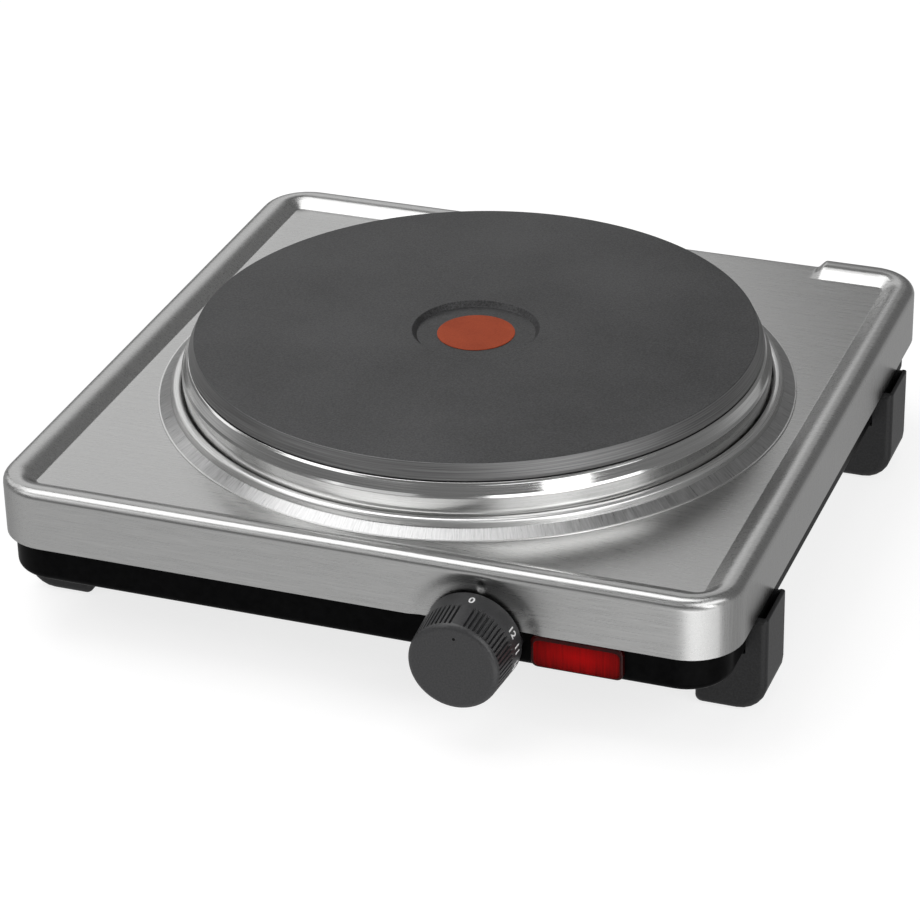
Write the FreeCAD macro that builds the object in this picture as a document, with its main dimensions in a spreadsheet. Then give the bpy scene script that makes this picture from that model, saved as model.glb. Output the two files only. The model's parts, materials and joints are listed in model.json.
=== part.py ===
import FreeCAD, Part
import math
import os

import Sketcher
from FreeCAD import Placement, Rotation, Vector

# A countertop hot plate: one cast-iron plate on a pressed steel casing, closed below by a black
# tray on four feet, with a turning heat control at the front.
# Millimetres. +Z is up, the table is z = 0, -Y is the front, and the origin is the middle of the
# footprint, knob included.

SIZES = {
    # heights above the table
    "tray_low": 24.6,
    "skirt_low": 39.0,
    "deck_top": 58.7,
    "rim_top": 62.4,
    # pressed steel casing
    "casing_width": 283.0,
    "casing_front": -129.5,
    "casing_rear": 151.5,
    "casing_corner": 20.0,
    "casing_wall": 0.8,
    "rim_round": 5.0,
    "recess_width": 255.6,
    "recess_front": -115.8,
    "recess_rear": 137.8,
    "recess_taper": 40.0,
    "gap_left": -40.0,
    "gap_right": 99.3,
    "gap_round": 3.0,
    "dish_radius": 27.0,
    "dish_slope": 5.0,
    "dish_depth": 0.9,
    # collar pressed into the deck round the plate
    "plate_y": 8.5,
    "collar_radius": 122.4,
    "collar_bore": 107.5,
    "ledge_rise": 3.2,
    # cast-iron plate, heights counted from the deck
    "plate_radius": 110.0,
    "plate_face": 107.75,
    "plate_rise": 23.8,
    "edge_rise": 19.1,
    "lip_rise": 17.4,
    "plate_body": 106.5,
    "plate_under": 9.0,
    "groove_roof": 16.5,
    "groove_width": 16.0,
    "groove_pitch": 20.0,
    "first_groove": 45.0,
    "boss_radius": 12.0,
    "well_radius": 24.3,
    "well_slope": 1.7,
    "well_depth": 2.0,
    "marker_radius": 14.9,
    "marker_thick": 0.3,
    "coil_rise": 13.2,
    "coil_tube": 2.5,
    "bed_low": 10.0,
    "cover_radius": 103.0,
    "cover_thick": 0.8,
    # polished ring between plate and collar
    "ring_radius": 112.9,
    "ring_wall": 0.6,
    "ring_crease": 12.8,
    "ring_lip": 110.6,
    "seal_thick": 0.8,
    # clamping stack on the centre stud
    "stud_radius": 4.0,
    "stud_fit": 0.05,
    "stud_drop": 19.7,
    "shield_drop": 4.7,
    "shield_wall": 0.6,
    "shield_radius": 79.0,
    "bar_drop": 6.7,
    "bar_thick": 2.0,
    "bar_width": 26.0,
    "bar_flat": 104.0,
    "bar_ramp": 112.0,
    "bar_reach": 150.0,
    "washer_thick": 1.6,
    "washer_radius": 12.0,
    "nut_flats": 13.0,
    "nut_height": 6.5,
    # black tray
    "tray_width": 275.6,
    "tray_front": -127.5,
    "tray_rear": 148.0,
    "tray_corner": 17.0,
    "tray_round": 3.0,
    "tray_wall": 0.8,
    "tray_height": 30.0,
    "slot_width": 4.0,
    "slot_length": 46.0,
    "slot_pitch": 12.0,
    # feet
    "foot_inner": 119.0,
    "foot_outer": 145.5,
    "foot_wing": 139.0,
    "foot_depth": 25.5,
    "foot_front": -95.5,
    "foot_rear": 84.5,
    "foot_sole": 0.5,
    "foot_round": 10.0,
    "pad_radius": 8.0,
    "pad_thick": 2.5,
    "pad_x": 131.0,
    # posts and screws
    "post_x": 120.0,
    "post_front": -110.0,
    "post_rear": 133.0,
    "post_flats": 8.0,
    "screw_radius": 2.0,
    "head_radius": 4.0,
    "head_thick": 2.2,
    # heat control
    "knob_x": 48.3,
    "knob_z": 34.2,
    "knob_back": -130.1,
    "knob_face": -151.5,
    "knob_radius": 18.24,
    "knob_small": 16.9,
    "knob_wall": 2.0,
    "knob_edge": 1.5,
    "face_thick": 3.0,
    "hub_radius": 5.5,
    "shaft_radius": 3.0,
    "shaft_fit": 0.05,
    "housing_width": 40.0,
    "housing_low": 27.6,
    "housing_height": 20.4,
    "housing_depth": 30.0,
    "housing_wall": 1.5,
    "fixing_reach": 14.0,
    "cam_radius": 4.6,
    # pilot lamp
    "lens_x": 86.3,
    "lens_z": 32.5,
    "lens_width": 34.1,
    "lens_height": 12.8,
    "lens_proud": 2.0,
    "lens_round": 2.5,
    "lamp_depth": 15.0,
    # mains entry
    "gland_x": -80.0,
    "gland_z": 34.0,
    "gland_bore": 3.6,
    "gland_neck": 5.8,
    "gland_nose": 4.9,
    "gland_barb": 6.3,
    "gland_flange": 8.0,
    "lead_radius": 1.3,
}

GROOVE_COUNT = 3
SLOTS_PER_BANK = 7
BLADES_PER_ROW = 4
BLADE_LENGTH = 8
BLADE_WIDTH = 5
FOOT_SLOT_WALL = 1.6
FOOT_SLOT_END = 3
FOOT_SLOT_DEPTH = 9
PROTECTOR_INNER = 17
PROTECTOR_OUTER = 37
PLATE_BLOCK_HALF = 18
PLATE_BLOCK_OFFSET = 81
PLATE_BLOCK_DEPTH = 14
PLATE_BLOCK_HEIGHT = 9
PLATE_BLADE_PITCH = 8.8
PLATE_BLADE_START = -15.4
PLATE_BLADE_WIDTH = 4.4
PLATE_BLADE_THICK = 0.8
CONTROL_BLADE_PITCH = 9
MAINS_BLOCK_OFFSET = 46
MAINS_BLOCK_DEPTH = 18
LAMP_BACKSET = 2

doc = FreeCAD.newDocument("HotPlate")
sheet = doc.addObject("Spreadsheet::Sheet", "Sizes")
parts = {}


class Size:
    """A length that carries both its value and the sheet expression it comes from."""

    def __init__(self, value, text):
        self.value = value
        self.text = text

    def __add__(self, other):
        other = as_size(other)
        return Size(self.value + other.value, f"({self.text} + {other.text})")

    def __sub__(self, other):
        other = as_size(other)
        return Size(self.value - other.value, f"({self.text} - {other.text})")

    def __mul__(self, factor):
        return Size(self.value * factor, f"({self.text} * {factor})")

    def __truediv__(self, factor):
        return Size(self.value / factor, f"({self.text} / {factor})")

    def __neg__(self):
        return Size(-self.value, f"(-{self.text})")

    def __radd__(self, other):
        return as_size(other) + self

    def __rsub__(self, other):
        return as_size(other) - self


def as_size(number):
    if isinstance(number, Size):
        return number
    return Size(float(number), repr(float(number)))


class Names:
    """Every alias of the sheet as an attribute."""


def fill_sheet():
    names = Names()
    for row, (alias, value) in enumerate(SIZES.items(), start=1):
        sheet.set(f"A{row}", alias)
        sheet.set(f"B{row}", str(value))
        sheet.setAlias(f"B{row}", alias)
        setattr(names, alias, Size(value, f"Sizes.{alias}"))
    doc.recompute()
    return names


S = fill_sheet()
DECK_UNDER = S.deck_top - S.casing_wall
TRAY_FLOOR = S.tray_low + S.tray_wall
TRAY_INNER_FRONT = S.tray_front + S.tray_wall


def bind(item, **values):
    """Tie properties of an object to sheet expressions."""
    for name, size in values.items():
        item.setExpression(name, as_size(size).text)
    return item


def place(item, x=0.0, y=0.0, z=0.0, turn=None):
    """Move an object to a point that the sheet gives, turned by a Rotation if one is given."""
    spot = [as_size(value) for value in (x, y, z)]
    item.Placement = Placement(Vector(*[s.value for s in spot]), turn or Rotation())
    for axis, size in zip("xyz", spot):
        item.setExpression(f"Placement.Base.{axis}", size.text)
    return item


def keep(label, item):
    """Give a finished sub-part its label and put it on the list of nodes."""
    item.Label = label
    parts[label] = item
    return item


def new_body(name):
    return doc.addObject("PartDesign::Body", name)


def origin_plane(body, role):
    return next(item for item in body.Origin.OriginFeatures if item.Role == role)


def outline(body, role, corners, lift=None):
    """Closed outline of straight sides whose corners are tied to the sheet."""
    sketch = body.newObject("Sketcher::SketchObject", "Outline")
    sketch.AttachmentSupport = (origin_plane(body, role), [""])
    sketch.MapMode = "FlatFace"
    if lift is not None:
        sketch.setExpression("AttachmentOffset.Base.z", as_size(lift).text)
    corners = [(as_size(u), as_size(v)) for u, v in corners]
    points = [Vector(u.value, v.value, 0) for u, v in corners]
    count = len(points)
    for i in range(count):
        sketch.addGeometry(Part.LineSegment(points[i], points[(i + 1) % count]), False)
    for i in range(count):
        sketch.addConstraint(Sketcher.Constraint("Coincident", i, 2, (i + 1) % count, 1))
    for i, (u, v) in enumerate(corners):
        for kind, size in (("DistanceX", u), ("DistanceY", v)):
            index = sketch.addConstraint(Sketcher.Constraint(kind, -1, 1, i, 1, size.value))
            sketch.setExpression(f"Constraints[{index}]", size.text)
    return sketch


def rectangle(left, right, low, high):
    return [(left, low), (right, low), (right, high), (left, high)]


def pad(body, sketch, length):
    feature = body.newObject("PartDesign::Pad", "Pad")
    feature.Profile = sketch
    bind(feature, Length=length)
    return feature


def pocket(body, sketch, depth, taper=None):
    """Cut from the sketch towards the low side of its plane."""
    feature = body.newObject("PartDesign::Pocket", "Pocket")
    feature.Profile = sketch
    bind(feature, Length=depth)
    if taper is not None:
        bind(feature, TaperAngle=taper)
    return feature


def spin(body, sketch):
    """Revolve an outline about its sketch's upright axis."""
    feature = body.newObject("PartDesign::Revolution", "Revolution")
    feature.Profile = sketch
    feature.ReferenceAxis = (sketch, ["V_Axis"])
    feature.Angle = 360
    return feature


def edges_where(feature, test):
    doc.recompute()
    return [f"Edge{i}" for i, edge in enumerate(feature.Shape.Edges, start=1) if test(edge)]


def soften(body, feature, radius, test):
    """Fillet the edges of a body's last feature that pass a test."""
    names = edges_where(feature, test)
    if not names:
        raise RuntimeError(f"no edge to soften on {body.Label}")
    fillet = body.newObject("PartDesign::Fillet", "Fillet")
    fillet.Base = (feature, names)
    bind(fillet, Radius=radius)
    return fillet


def is_upright(edge):
    low, high = edge.Vertexes[0].Point, edge.Vertexes[-1].Point
    return abs(low.z - high.z) > 1 and low.sub(Vector(high.x, high.y, low.z)).Length < 1e-3


def at_height(height, tolerance=1e-3):
    return lambda edge: abs(edge.BoundBox.ZMin - height) < tolerance > abs(edge.BoundBox.ZMax - height)


def turned(name, profile, y=0.0, z=0.0, x=0.0):
    """A piece turned about an upright axis, from its (radius, height) profile."""
    body = new_body(name)
    spin(body, outline(body, "XZ_Plane", profile))
    return place(body, x, y, z)


def turned_lengthwise(name, profile, x, z):
    """A piece turned about an axis along Y, from its (radius, y) profile."""
    body = new_body(name)
    spin(body, outline(body, "XY_Plane", profile))
    return place(body, x, 0, z)


def box(name, left, right, front, back, low, high):
    item = doc.addObject("Part::Box", name)
    left, right, front, back, low, high = map(as_size, (left, right, front, back, low, high))
    bind(item, Length=right - left, Width=back - front, Height=high - low)
    return place(item, left, front, low)


def rod(name, radius, x, y, z, length, turn=None):
    item = doc.addObject("Part::Cylinder", name)
    bind(item, Radius=radius, Height=length)
    return place(item, x, y, z, turn)


def hexagon(name, flats, length, x, y, z):
    """Six-sided prism, sized across its flats."""
    item = doc.addObject("Part::Prism", name)
    item.Polygon = 6
    bind(item, Circumradius=flats / math.sqrt(3), Height=length)
    return place(item, x, y, z)


def cut(name, base, *tools):
    for number, tool in enumerate(tools):
        item = doc.addObject("Part::Cut", name if number == len(tools) - 1 else f"{name}Step")
        item.Base = base
        item.Tool = tool
        base = item
    return base


def join(name, *shapes):
    item = doc.addObject("Part::MultiFuse", name)
    item.Shapes = list(shapes)
    return item


def group(name, shapes):
    """Separate solids of one kind that share a node."""
    item = doc.addObject("Part::Compound", name)
    item.Links = list(shapes)
    return item


def rounded_box(name, left, right, front, back, low, high, radius, test=is_upright):
    """A block with the chosen edges rounded."""
    body = new_body(name)
    block = pad(body, outline(body, "XY_Plane", rectangle(left, right, front, back)), high - low)
    soften(body, block, radius, test)
    return place(body, 0, 0, low)


FORWARD = Rotation(Vector(1, 0, 0), 90)
BACKWARD = Rotation(Vector(1, 0, 0), -90)
SIDEWAYS = Rotation(Vector(0, 1, 0), 90)


# ---------------------------------------------------------------- casing

def is_outer(edge, half, front, rear):
    """True for an edge on the casing's outer outline, not on the recess or the gap."""
    middle = edge.CenterOfMass
    margin = 10
    beside = abs(middle.x) > half.value - margin
    return beside or middle.y < front.value + margin or middle.y > rear.value - margin


def casing_block(name, inset):
    """The casing's outer form, shrunk on every side by inset: zero for the outside, the wall
    thickness for the hollow inside it."""
    body = new_body(name)
    half = S.casing_width / 2 - inset
    front = S.casing_front + inset
    rear = S.casing_rear - inset
    height = S.rim_top - inset - S.skirt_low
    block = pad(body, outline(body, "XY_Plane", rectangle(-half, half, front, rear)), height)
    block = soften(body, block, S.casing_corner - inset, is_upright)
    recess_half = S.recess_width / 2 + inset
    recess_front = S.recess_front - inset
    recess_rear = S.recess_rear + inset
    floor = S.deck_top - inset - S.skirt_low
    depth = S.rim_top - S.deck_top
    gap = rectangle(S.gap_left - inset, S.gap_right + inset, recess_rear - 10, rear + 10)
    notch = pocket(body, outline(body, "XY_Plane", gap, height), depth)
    notch = soften(body, notch, S.gap_round - inset,
                   lambda edge: at_height(floor.value)(edge) and edge.CenterOfMass.y > rear.value - 1)
    soften(body, notch, S.rim_round - inset,
           lambda edge: at_height(height.value)(edge) and is_outer(edge, half, front, rear))
    slope = math.tan(math.radians(SIZES["recess_taper"])) * depth.value
    wide = rectangle(-recess_half - slope, recess_half + slope, recess_front - slope, recess_rear + slope)
    pocket(body, outline(body, "XY_Plane", wide, height), depth, -S.recess_taper)
    place(body, 0, 0, S.skirt_low)
    dish = doc.addObject("Part::Cone", f"{name}Dish")
    bind(dish, Radius1=S.dish_radius - S.dish_slope, Radius2=S.dish_radius + S.dish_slope,
         Height=S.dish_depth * 2)
    place(dish, S.knob_x, front + S.dish_depth, S.knob_z, FORWARD)
    return cut(f"{name}Dished", body, dish)


def collar_profile():
    """Sheet section of the collar: slope, bead, and the ledge that carries the plate seal."""
    wall = S.casing_wall
    return [(S.collar_radius, 0), (117.2, 3.0), (116.2, 5.2), (115.0, 5.9), (113.6, 5.4),
            (113.4, S.ledge_rise), (S.collar_bore, S.ledge_rise),
            (S.collar_bore, S.ledge_rise - wall), (114.2, S.ledge_rise - wall), (114.3, 4.8),
            (115.0, 5.1), (115.5, 4.7), (116.5, 2.5), (S.collar_radius, -wall)]


def make_casing():
    shell = cut("CasingShell", casing_block("CasingOutside", 0), casing_block("CasingInside", S.casing_wall))
    hole = rod("CasingHole", S.collar_radius, 0, S.plate_y, S.deck_top - 3, 6)
    collar = turned("CasingCollar", collar_profile(), S.plate_y, S.deck_top)
    keep("top_casing", join("TopCasing", cut("CasingHoled", shell, hole), collar))


# ---------------------------------------------------------------- plate

def groove_inner(number):
    return S.first_groove + S.groove_pitch * number


def make_hot_plate():
    """Iron disc with a centre well on top and a groove below for each heating coil."""
    well_top = S.plate_rise
    well_floor = S.plate_rise - S.well_depth
    profile = [(0, well_floor), (S.well_radius - S.well_slope, well_floor), (S.well_radius, well_top),
               (S.plate_face, S.plate_rise), (S.plate_radius, S.edge_rise), (S.plate_radius, S.lip_rise),
               (S.plate_body, S.lip_rise), (S.plate_body, S.plate_under)]
    for number in reversed(range(GROOVE_COUNT)):
        inner = groove_inner(number)
        outer = inner + S.groove_width
        profile += [(outer, S.plate_under), (outer, S.groove_roof),
                    (inner, S.groove_roof), (inner, S.plate_under)]
    rib = S.first_groove - (S.groove_pitch - S.groove_width)
    bore = S.stud_radius + S.stud_fit
    profile += [(rib, S.plate_under), (rib, S.groove_roof), (S.boss_radius, S.groove_roof),
                (S.boss_radius, S.plate_under), (bore, S.plate_under), (bore, S.edge_rise), (0, S.edge_rise)]
    keep("hot_plate", turned("HotPlateBody", profile, S.plate_y, S.deck_top))


def make_marker():
    low = S.plate_rise - S.well_depth
    marker = rod("Marker", S.marker_radius, 0, S.plate_y, S.deck_top + low, S.marker_thick)
    keep("red_marker", marker)


def make_coils():
    """A wound coil in each groove, held by a bed of pressed ceramic that stays open below it."""
    for number, where in enumerate(("inner", "middle", "outer")):
        inner = groove_inner(number)
        outer = inner + S.groove_width
        middle = inner + S.groove_width / 2
        gap = S.coil_tube + 0.2
        roof = S.coil_rise + S.coil_tube + 0.2
        bed = [(inner, S.bed_low), (middle - gap, S.bed_low), (middle - gap, roof), (middle + gap, roof),
               (middle + gap, S.bed_low), (outer, S.bed_low), (outer, S.groove_roof), (inner, S.groove_roof)]
        keep(f"ceramic_bed_{where}", turned(f"Bed{number}", bed, S.plate_y, S.deck_top))
        coil = doc.addObject("Part::Torus", f"Coil{number}")
        bind(coil, Radius1=middle, Radius2=S.coil_tube)
        place(coil, 0, S.plate_y, S.deck_top + S.coil_rise)
        keep(f"heating_coil_{where}", coil)


def make_plate_cover():
    low = S.plate_under - S.cover_thick
    bore = S.stud_radius + 1
    profile = rectangle(bore, S.cover_radius, low, S.plate_under)
    cover = turned("CoverDisc", profile, S.plate_y, S.deck_top)
    keep("plate_bottom_cover", cover)


def make_protector():
    """Thermal cut-out under the unheated middle of the plate."""
    protector = rounded_box("ProtectorBlock", PROTECTOR_INNER, PROTECTOR_OUTER, S.plate_y - 8, S.plate_y + 8,
                            S.deck_top + S.bed_low, S.deck_top + S.groove_roof, 3)
    keep("overheat_protector", protector)


def make_plate_terminals():
    """Ceramic block under the plate's rear, with a row of blades."""
    high = S.deck_top + S.plate_under - S.cover_thick
    low = high - PLATE_BLOCK_HEIGHT
    front = S.plate_y + PLATE_BLOCK_OFFSET
    block = rounded_box("PlateBlock", -PLATE_BLOCK_HALF, PLATE_BLOCK_HALF, front, front + PLATE_BLOCK_DEPTH,
                        low, high, 2)
    keep("plate_terminal_block", block)
    blade_front = front + (PLATE_BLOCK_DEPTH - PLATE_BLADE_THICK) / 2
    blades = []
    for number in range(BLADES_PER_ROW):
        left = PLATE_BLADE_START + PLATE_BLADE_PITCH * number
        blades.append(box(f"PlateBlade{number}", left, left + PLATE_BLADE_WIDTH, blade_front,
                          blade_front + PLATE_BLADE_THICK, low - BLADE_LENGTH, low))
    keep("plate_terminals", group("PlateBlades", blades))


def make_spill_ring():
    wall = S.ring_wall
    foot = S.ledge_rise + S.seal_thick
    inner = S.ring_radius - wall
    throat = S.plate_body + 0.3
    profile = [(S.ring_radius, foot), (S.ring_radius, S.ring_crease), (S.ring_lip, S.lip_rise),
               (throat, S.lip_rise), (throat, S.lip_rise - wall), (S.ring_lip - 0.4, S.lip_rise - wall),
               (inner, S.ring_crease - 0.2), (inner, foot)]
    keep("spill_ring", turned("SpillRing", profile, S.plate_y, S.deck_top))
    seal = rectangle(S.ring_radius - 3, S.ring_radius + 0.2, S.ledge_rise, foot)
    keep("plate_seal", turned("PlateSeal", seal, S.plate_y, S.deck_top))


# ---------------------------------------------------------------- clamping stack

def make_stack():
    """Stud, shield, bar, washer and nut that pull the plate down on to the casing."""
    y = S.plate_y
    deck = S.deck_top
    bore = S.stud_radius + S.stud_fit
    stud_low = deck - S.stud_drop
    stud = rod("Stud", S.stud_radius, 0, y, stud_low, S.stud_drop + S.edge_rise)
    keep("centre_stud", stud)
    low = -S.shield_drop
    wall = S.shield_wall
    loose = S.stud_radius + 1
    shield = [(loose, low), (S.shield_radius - 3, low), (S.shield_radius, low + 6),
              (S.shield_radius - 0.7, low + 6), (S.shield_radius - 3.5, low + wall), (loose, low + wall)]
    keep("heat_shield", turned("Shield", shield, y, deck))
    spacer = S.boss_radius - 3
    upper = rectangle(bore, spacer, low + wall, S.plate_under - S.cover_thick)
    keep("upper_spacer", turned("UpperSpacer", upper, y, deck))
    lower = rectangle(bore, spacer, -S.bar_drop, low)
    keep("lower_spacer", turned("LowerSpacer", lower, y, deck))
    bar_low = S.bar_drop + S.bar_thick
    washer = rectangle(bore, S.washer_radius, -(bar_low + S.washer_thick), -bar_low)
    keep("centre_washer", turned("Washer", washer, y, deck))
    nut_low = deck - bar_low - S.washer_thick - S.nut_height
    nut = hexagon("NutBlank", S.nut_flats, S.nut_height, 0, y, nut_low)
    hole = rod("NutHole", bore, 0, y, nut_low - 1, S.nut_height + 2)
    keep("centre_nut", cut("Nut", nut, hole))


def make_clamp_bar():
    """Bar laid diagonally under the deck; its raised ends press on the deck outside the collar."""
    top = -S.bar_drop
    low = top - S.bar_thick
    end_top = -S.casing_wall
    end_low = end_top - S.bar_thick
    body = new_body("ClampBar")
    side = [(-S.bar_reach, end_low), (-S.bar_ramp, end_low), (-S.bar_flat, low), (S.bar_flat, low),
            (S.bar_ramp, end_low), (S.bar_reach, end_low), (S.bar_reach, end_top), (S.bar_ramp, end_top),
            (S.bar_flat, top), (-S.bar_flat, top), (-S.bar_ramp, end_top), (-S.bar_reach, end_top)]
    strip = pad(body, outline(body, "XZ_Plane", side), S.bar_width)
    strip.Midplane = True
    place(body, 0, S.plate_y, S.deck_top, Rotation(Vector(0, 0, 1), 45))
    hole = rod("BarHole", S.stud_radius + 0.3, 0, S.plate_y, S.deck_top - 15, 20)
    keep("clamp_bar", cut("BarBored", body, hole))


# ---------------------------------------------------------------- tray and feet

def corner_spots(x, front, rear):
    return [(x * side, y) for side in (-1, 1) for y in (front, rear)]


def make_tray():
    """Open steel tray with rounded corners, cut for the control, the lamp, the lead and air."""
    half = S.tray_width / 2
    body = new_body("TrayShell")
    block = pad(body, outline(body, "XY_Plane", rectangle(-half, half, S.tray_front, S.tray_rear)),
                S.tray_height)
    block = soften(body, block, S.tray_corner, is_upright)
    block = soften(body, block, S.tray_round, at_height(0))
    doc.recompute()
    top = [f"Face{i}" for i, face in enumerate(block.Shape.Faces, start=1)
           if face.BoundBox.ZMin > S.tray_height.value - 1e-3]
    shell = body.newObject("PartDesign::Thickness", "Thickness")
    shell.Base = (block, top)
    shell.Reversed = True
    bind(shell, Value=S.tray_wall)
    place(body, 0, 0, S.tray_low)
    through = S.tray_wall + 4
    front = S.tray_front - 2
    tools = [rod("ShaftHole", S.shaft_radius + 2, S.knob_x, front + through, S.knob_z, through, FORWARD)]
    for side in (-1, 1):
        x = S.knob_x + S.fixing_reach * side
        tools.append(rod("FixingHole", S.screw_radius + 0.1, x, front + through, S.knob_z, through, FORWARD))
    tools.append(box("LampWindow", *lens_span(-0.5), front, front + through, *lens_rise(-0.5)))
    tools.append(rod("GlandHole", S.gland_neck + 0.1, S.gland_x, S.tray_rear + 2, S.gland_z,
                     through, FORWARD))
    low = S.tray_low - 2
    for x, y in corner_spots(S.post_x, S.post_front, S.post_rear):
        tools.append(rod("BaseScrewHole", S.screw_radius + 0.1, x, y, low, through))
    for x, y in foot_centres():
        tools.append(rod("FootScrewHole", S.screw_radius + 0.1, x, y, low, through))
    for bank in (-1, 1):
        for number in range(SLOTS_PER_BANK):
            x = S.slot_pitch * (number - (SLOTS_PER_BANK - 1) / 2)
            y = S.plate_y + 42 * bank - S.slot_length / 2
            tools.append(box("VentSlot", x - S.slot_width / 2, x + S.slot_width / 2,
                             y, y + S.slot_length, low, low + through))
    keep("base_pan", cut("Tray", body, join("TrayCuts", *tools)))


def foot_centres():
    middle = S.foot_depth / 2
    return corner_spots(S.pad_x, S.foot_front + middle, S.foot_rear + middle)


def make_foot(name, side, front):
    """L-shaped foot: a block under the tray and an open-topped wing beside it."""
    body = new_body(f"{name}Solid")
    top = S.tray_low
    wing_top = S.skirt_low - 0.2
    section = [(S.foot_inner, S.foot_sole), (S.foot_outer, S.foot_sole), (S.foot_outer, wing_top),
               (S.foot_wing, wing_top), (S.foot_wing, top), (S.foot_inner, top)]
    section = [(x * side, z) for x, z in section]
    solid = pad(body, outline(body, "XZ_Plane", section), S.foot_depth)
    outer = S.foot_outer.value * side

    def low_corner(edge):
        return at_height(S.foot_sole.value)(edge) and abs(edge.CenterOfMass.x - outer) < 0.1

    soften(body, solid, S.foot_round, low_corner)
    place(body, 0, front + S.foot_depth, 0)
    near = S.foot_wing + FOOT_SLOT_WALL
    far = S.foot_outer - FOOT_SLOT_WALL
    left, right = (near, far) if side > 0 else (-far, -near)
    slot = box(f"{name}Slot", left, right, front + FOOT_SLOT_END, front + S.foot_depth - FOOT_SLOT_END,
               wing_top - FOOT_SLOT_DEPTH, wing_top + 1)
    middle = front + S.foot_depth / 2
    x = S.pad_x * side
    seat = rod(f"{name}PadSeat", S.pad_radius, x, middle, 0, S.pad_thick)
    hole = rod(f"{name}ScrewHole", S.screw_radius + 0.05, x, middle, S.tray_low - 14, 15)
    return cut(f"{name}Cut", body, slot, seat, hole)


def make_feet():
    screws = []
    for side, hand in ((-1, "left"), (1, "right")):
        for front, end in ((S.foot_front, "front"), (S.foot_rear, "rear")):
            name = f"foot_{end}_{hand}"
            keep(name, make_foot(name, side, front))
            middle = front + S.foot_depth / 2
            pad_disc = rod(f"{name}Pad", S.pad_radius, S.pad_x * side, middle, 0, S.pad_thick)
            keep(f"foot_pad_{end}_{hand}", pad_disc)
            screws.append(pan_screw(f"{name}Screw", S.pad_x * side, middle, TRAY_FLOOR, -1, 14))
    keep("foot_screws", group("FootScrews", screws))


def pan_screw(name, x, y, seat, way, length):
    """Screw whose head rests at the height seat; way is the direction of its shank, up or down."""
    profile = [(0, 0), (S.head_radius, 0), (S.head_radius, S.head_thick),
               (S.screw_radius, S.head_thick), (S.screw_radius, S.head_thick + length),
               (0, S.head_thick + length)]
    if way < 0:
        return place(screw_body(name, profile), x, y, seat + S.head_thick, Rotation(Vector(1, 0, 0), 180))
    return place(screw_body(name, profile), x, y, seat - S.head_thick)


def screw_body(name, profile):
    body = new_body(name)
    spin(body, outline(body, "XZ_Plane", profile))
    return body


def make_posts():
    """Six-sided posts between deck and tray, each with a screw from below."""
    posts = []
    screws = []
    for number, (x, y) in enumerate(corner_spots(S.post_x, S.post_front, S.post_rear)):
        post = hexagon(f"PostBlank{number}", S.post_flats, DECK_UNDER - TRAY_FLOOR, x, y, TRAY_FLOOR)
        hole = rod(f"PostHole{number}", S.screw_radius + 0.05, x, y, TRAY_FLOOR - 1, 13)
        posts.append(cut(f"Post{number}", post, hole))
        screws.append(pan_screw(f"BaseScrew{number}", x, y, S.tray_low, 1, 10))
    keep("base_posts", group("Posts", posts))
    keep("base_screws", group("BaseScrews", screws))


# ---------------------------------------------------------------- heat control

def make_knob():
    """Tapered cup with a hub for the shaft, and a spring ring on the hub."""
    inner_back = S.knob_radius - S.knob_wall
    inner_face = S.knob_small - S.knob_wall
    face_back = S.knob_face + S.face_thick
    bore = S.shaft_radius
    hub_start = S.knob_back - 1
    profile = [(bore, hub_start), (S.hub_radius, hub_start), (S.hub_radius, face_back),
               (inner_face, face_back), (inner_back, S.knob_back), (S.knob_radius, S.knob_back),
               (S.knob_small, S.knob_face), (0, S.knob_face), (0, face_back + 1), (bore, face_back + 1)]
    knob = turned_lengthwise("KnobBody", profile, S.knob_x, S.knob_z)
    last = knob.Tip
    face = S.knob_face.value
    rim = S.knob_small.value
    soften(knob, last, S.knob_edge,
           lambda edge: abs(edge.BoundBox.YMax - face) < 0.1 and abs(edge.BoundBox.XMax - rim) < 0.1)
    keep("control_knob", knob)
    ring = [(S.hub_radius, hub_start - 4), (S.hub_radius + 0.6, hub_start - 4),
            (S.hub_radius + 0.6, hub_start - 1), (S.hub_radius, hub_start - 1)]
    clip = turned_lengthwise("ClipRing", ring, S.knob_x, S.knob_z)
    split = box("ClipSplit", S.knob_x - 1, S.knob_x + 1, hub_start - 5, hub_start,
                S.knob_z + S.hub_radius - 1, S.knob_z + S.hub_radius + 2)
    keep("knob_clip", cut("Clip", clip, split))


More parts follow.
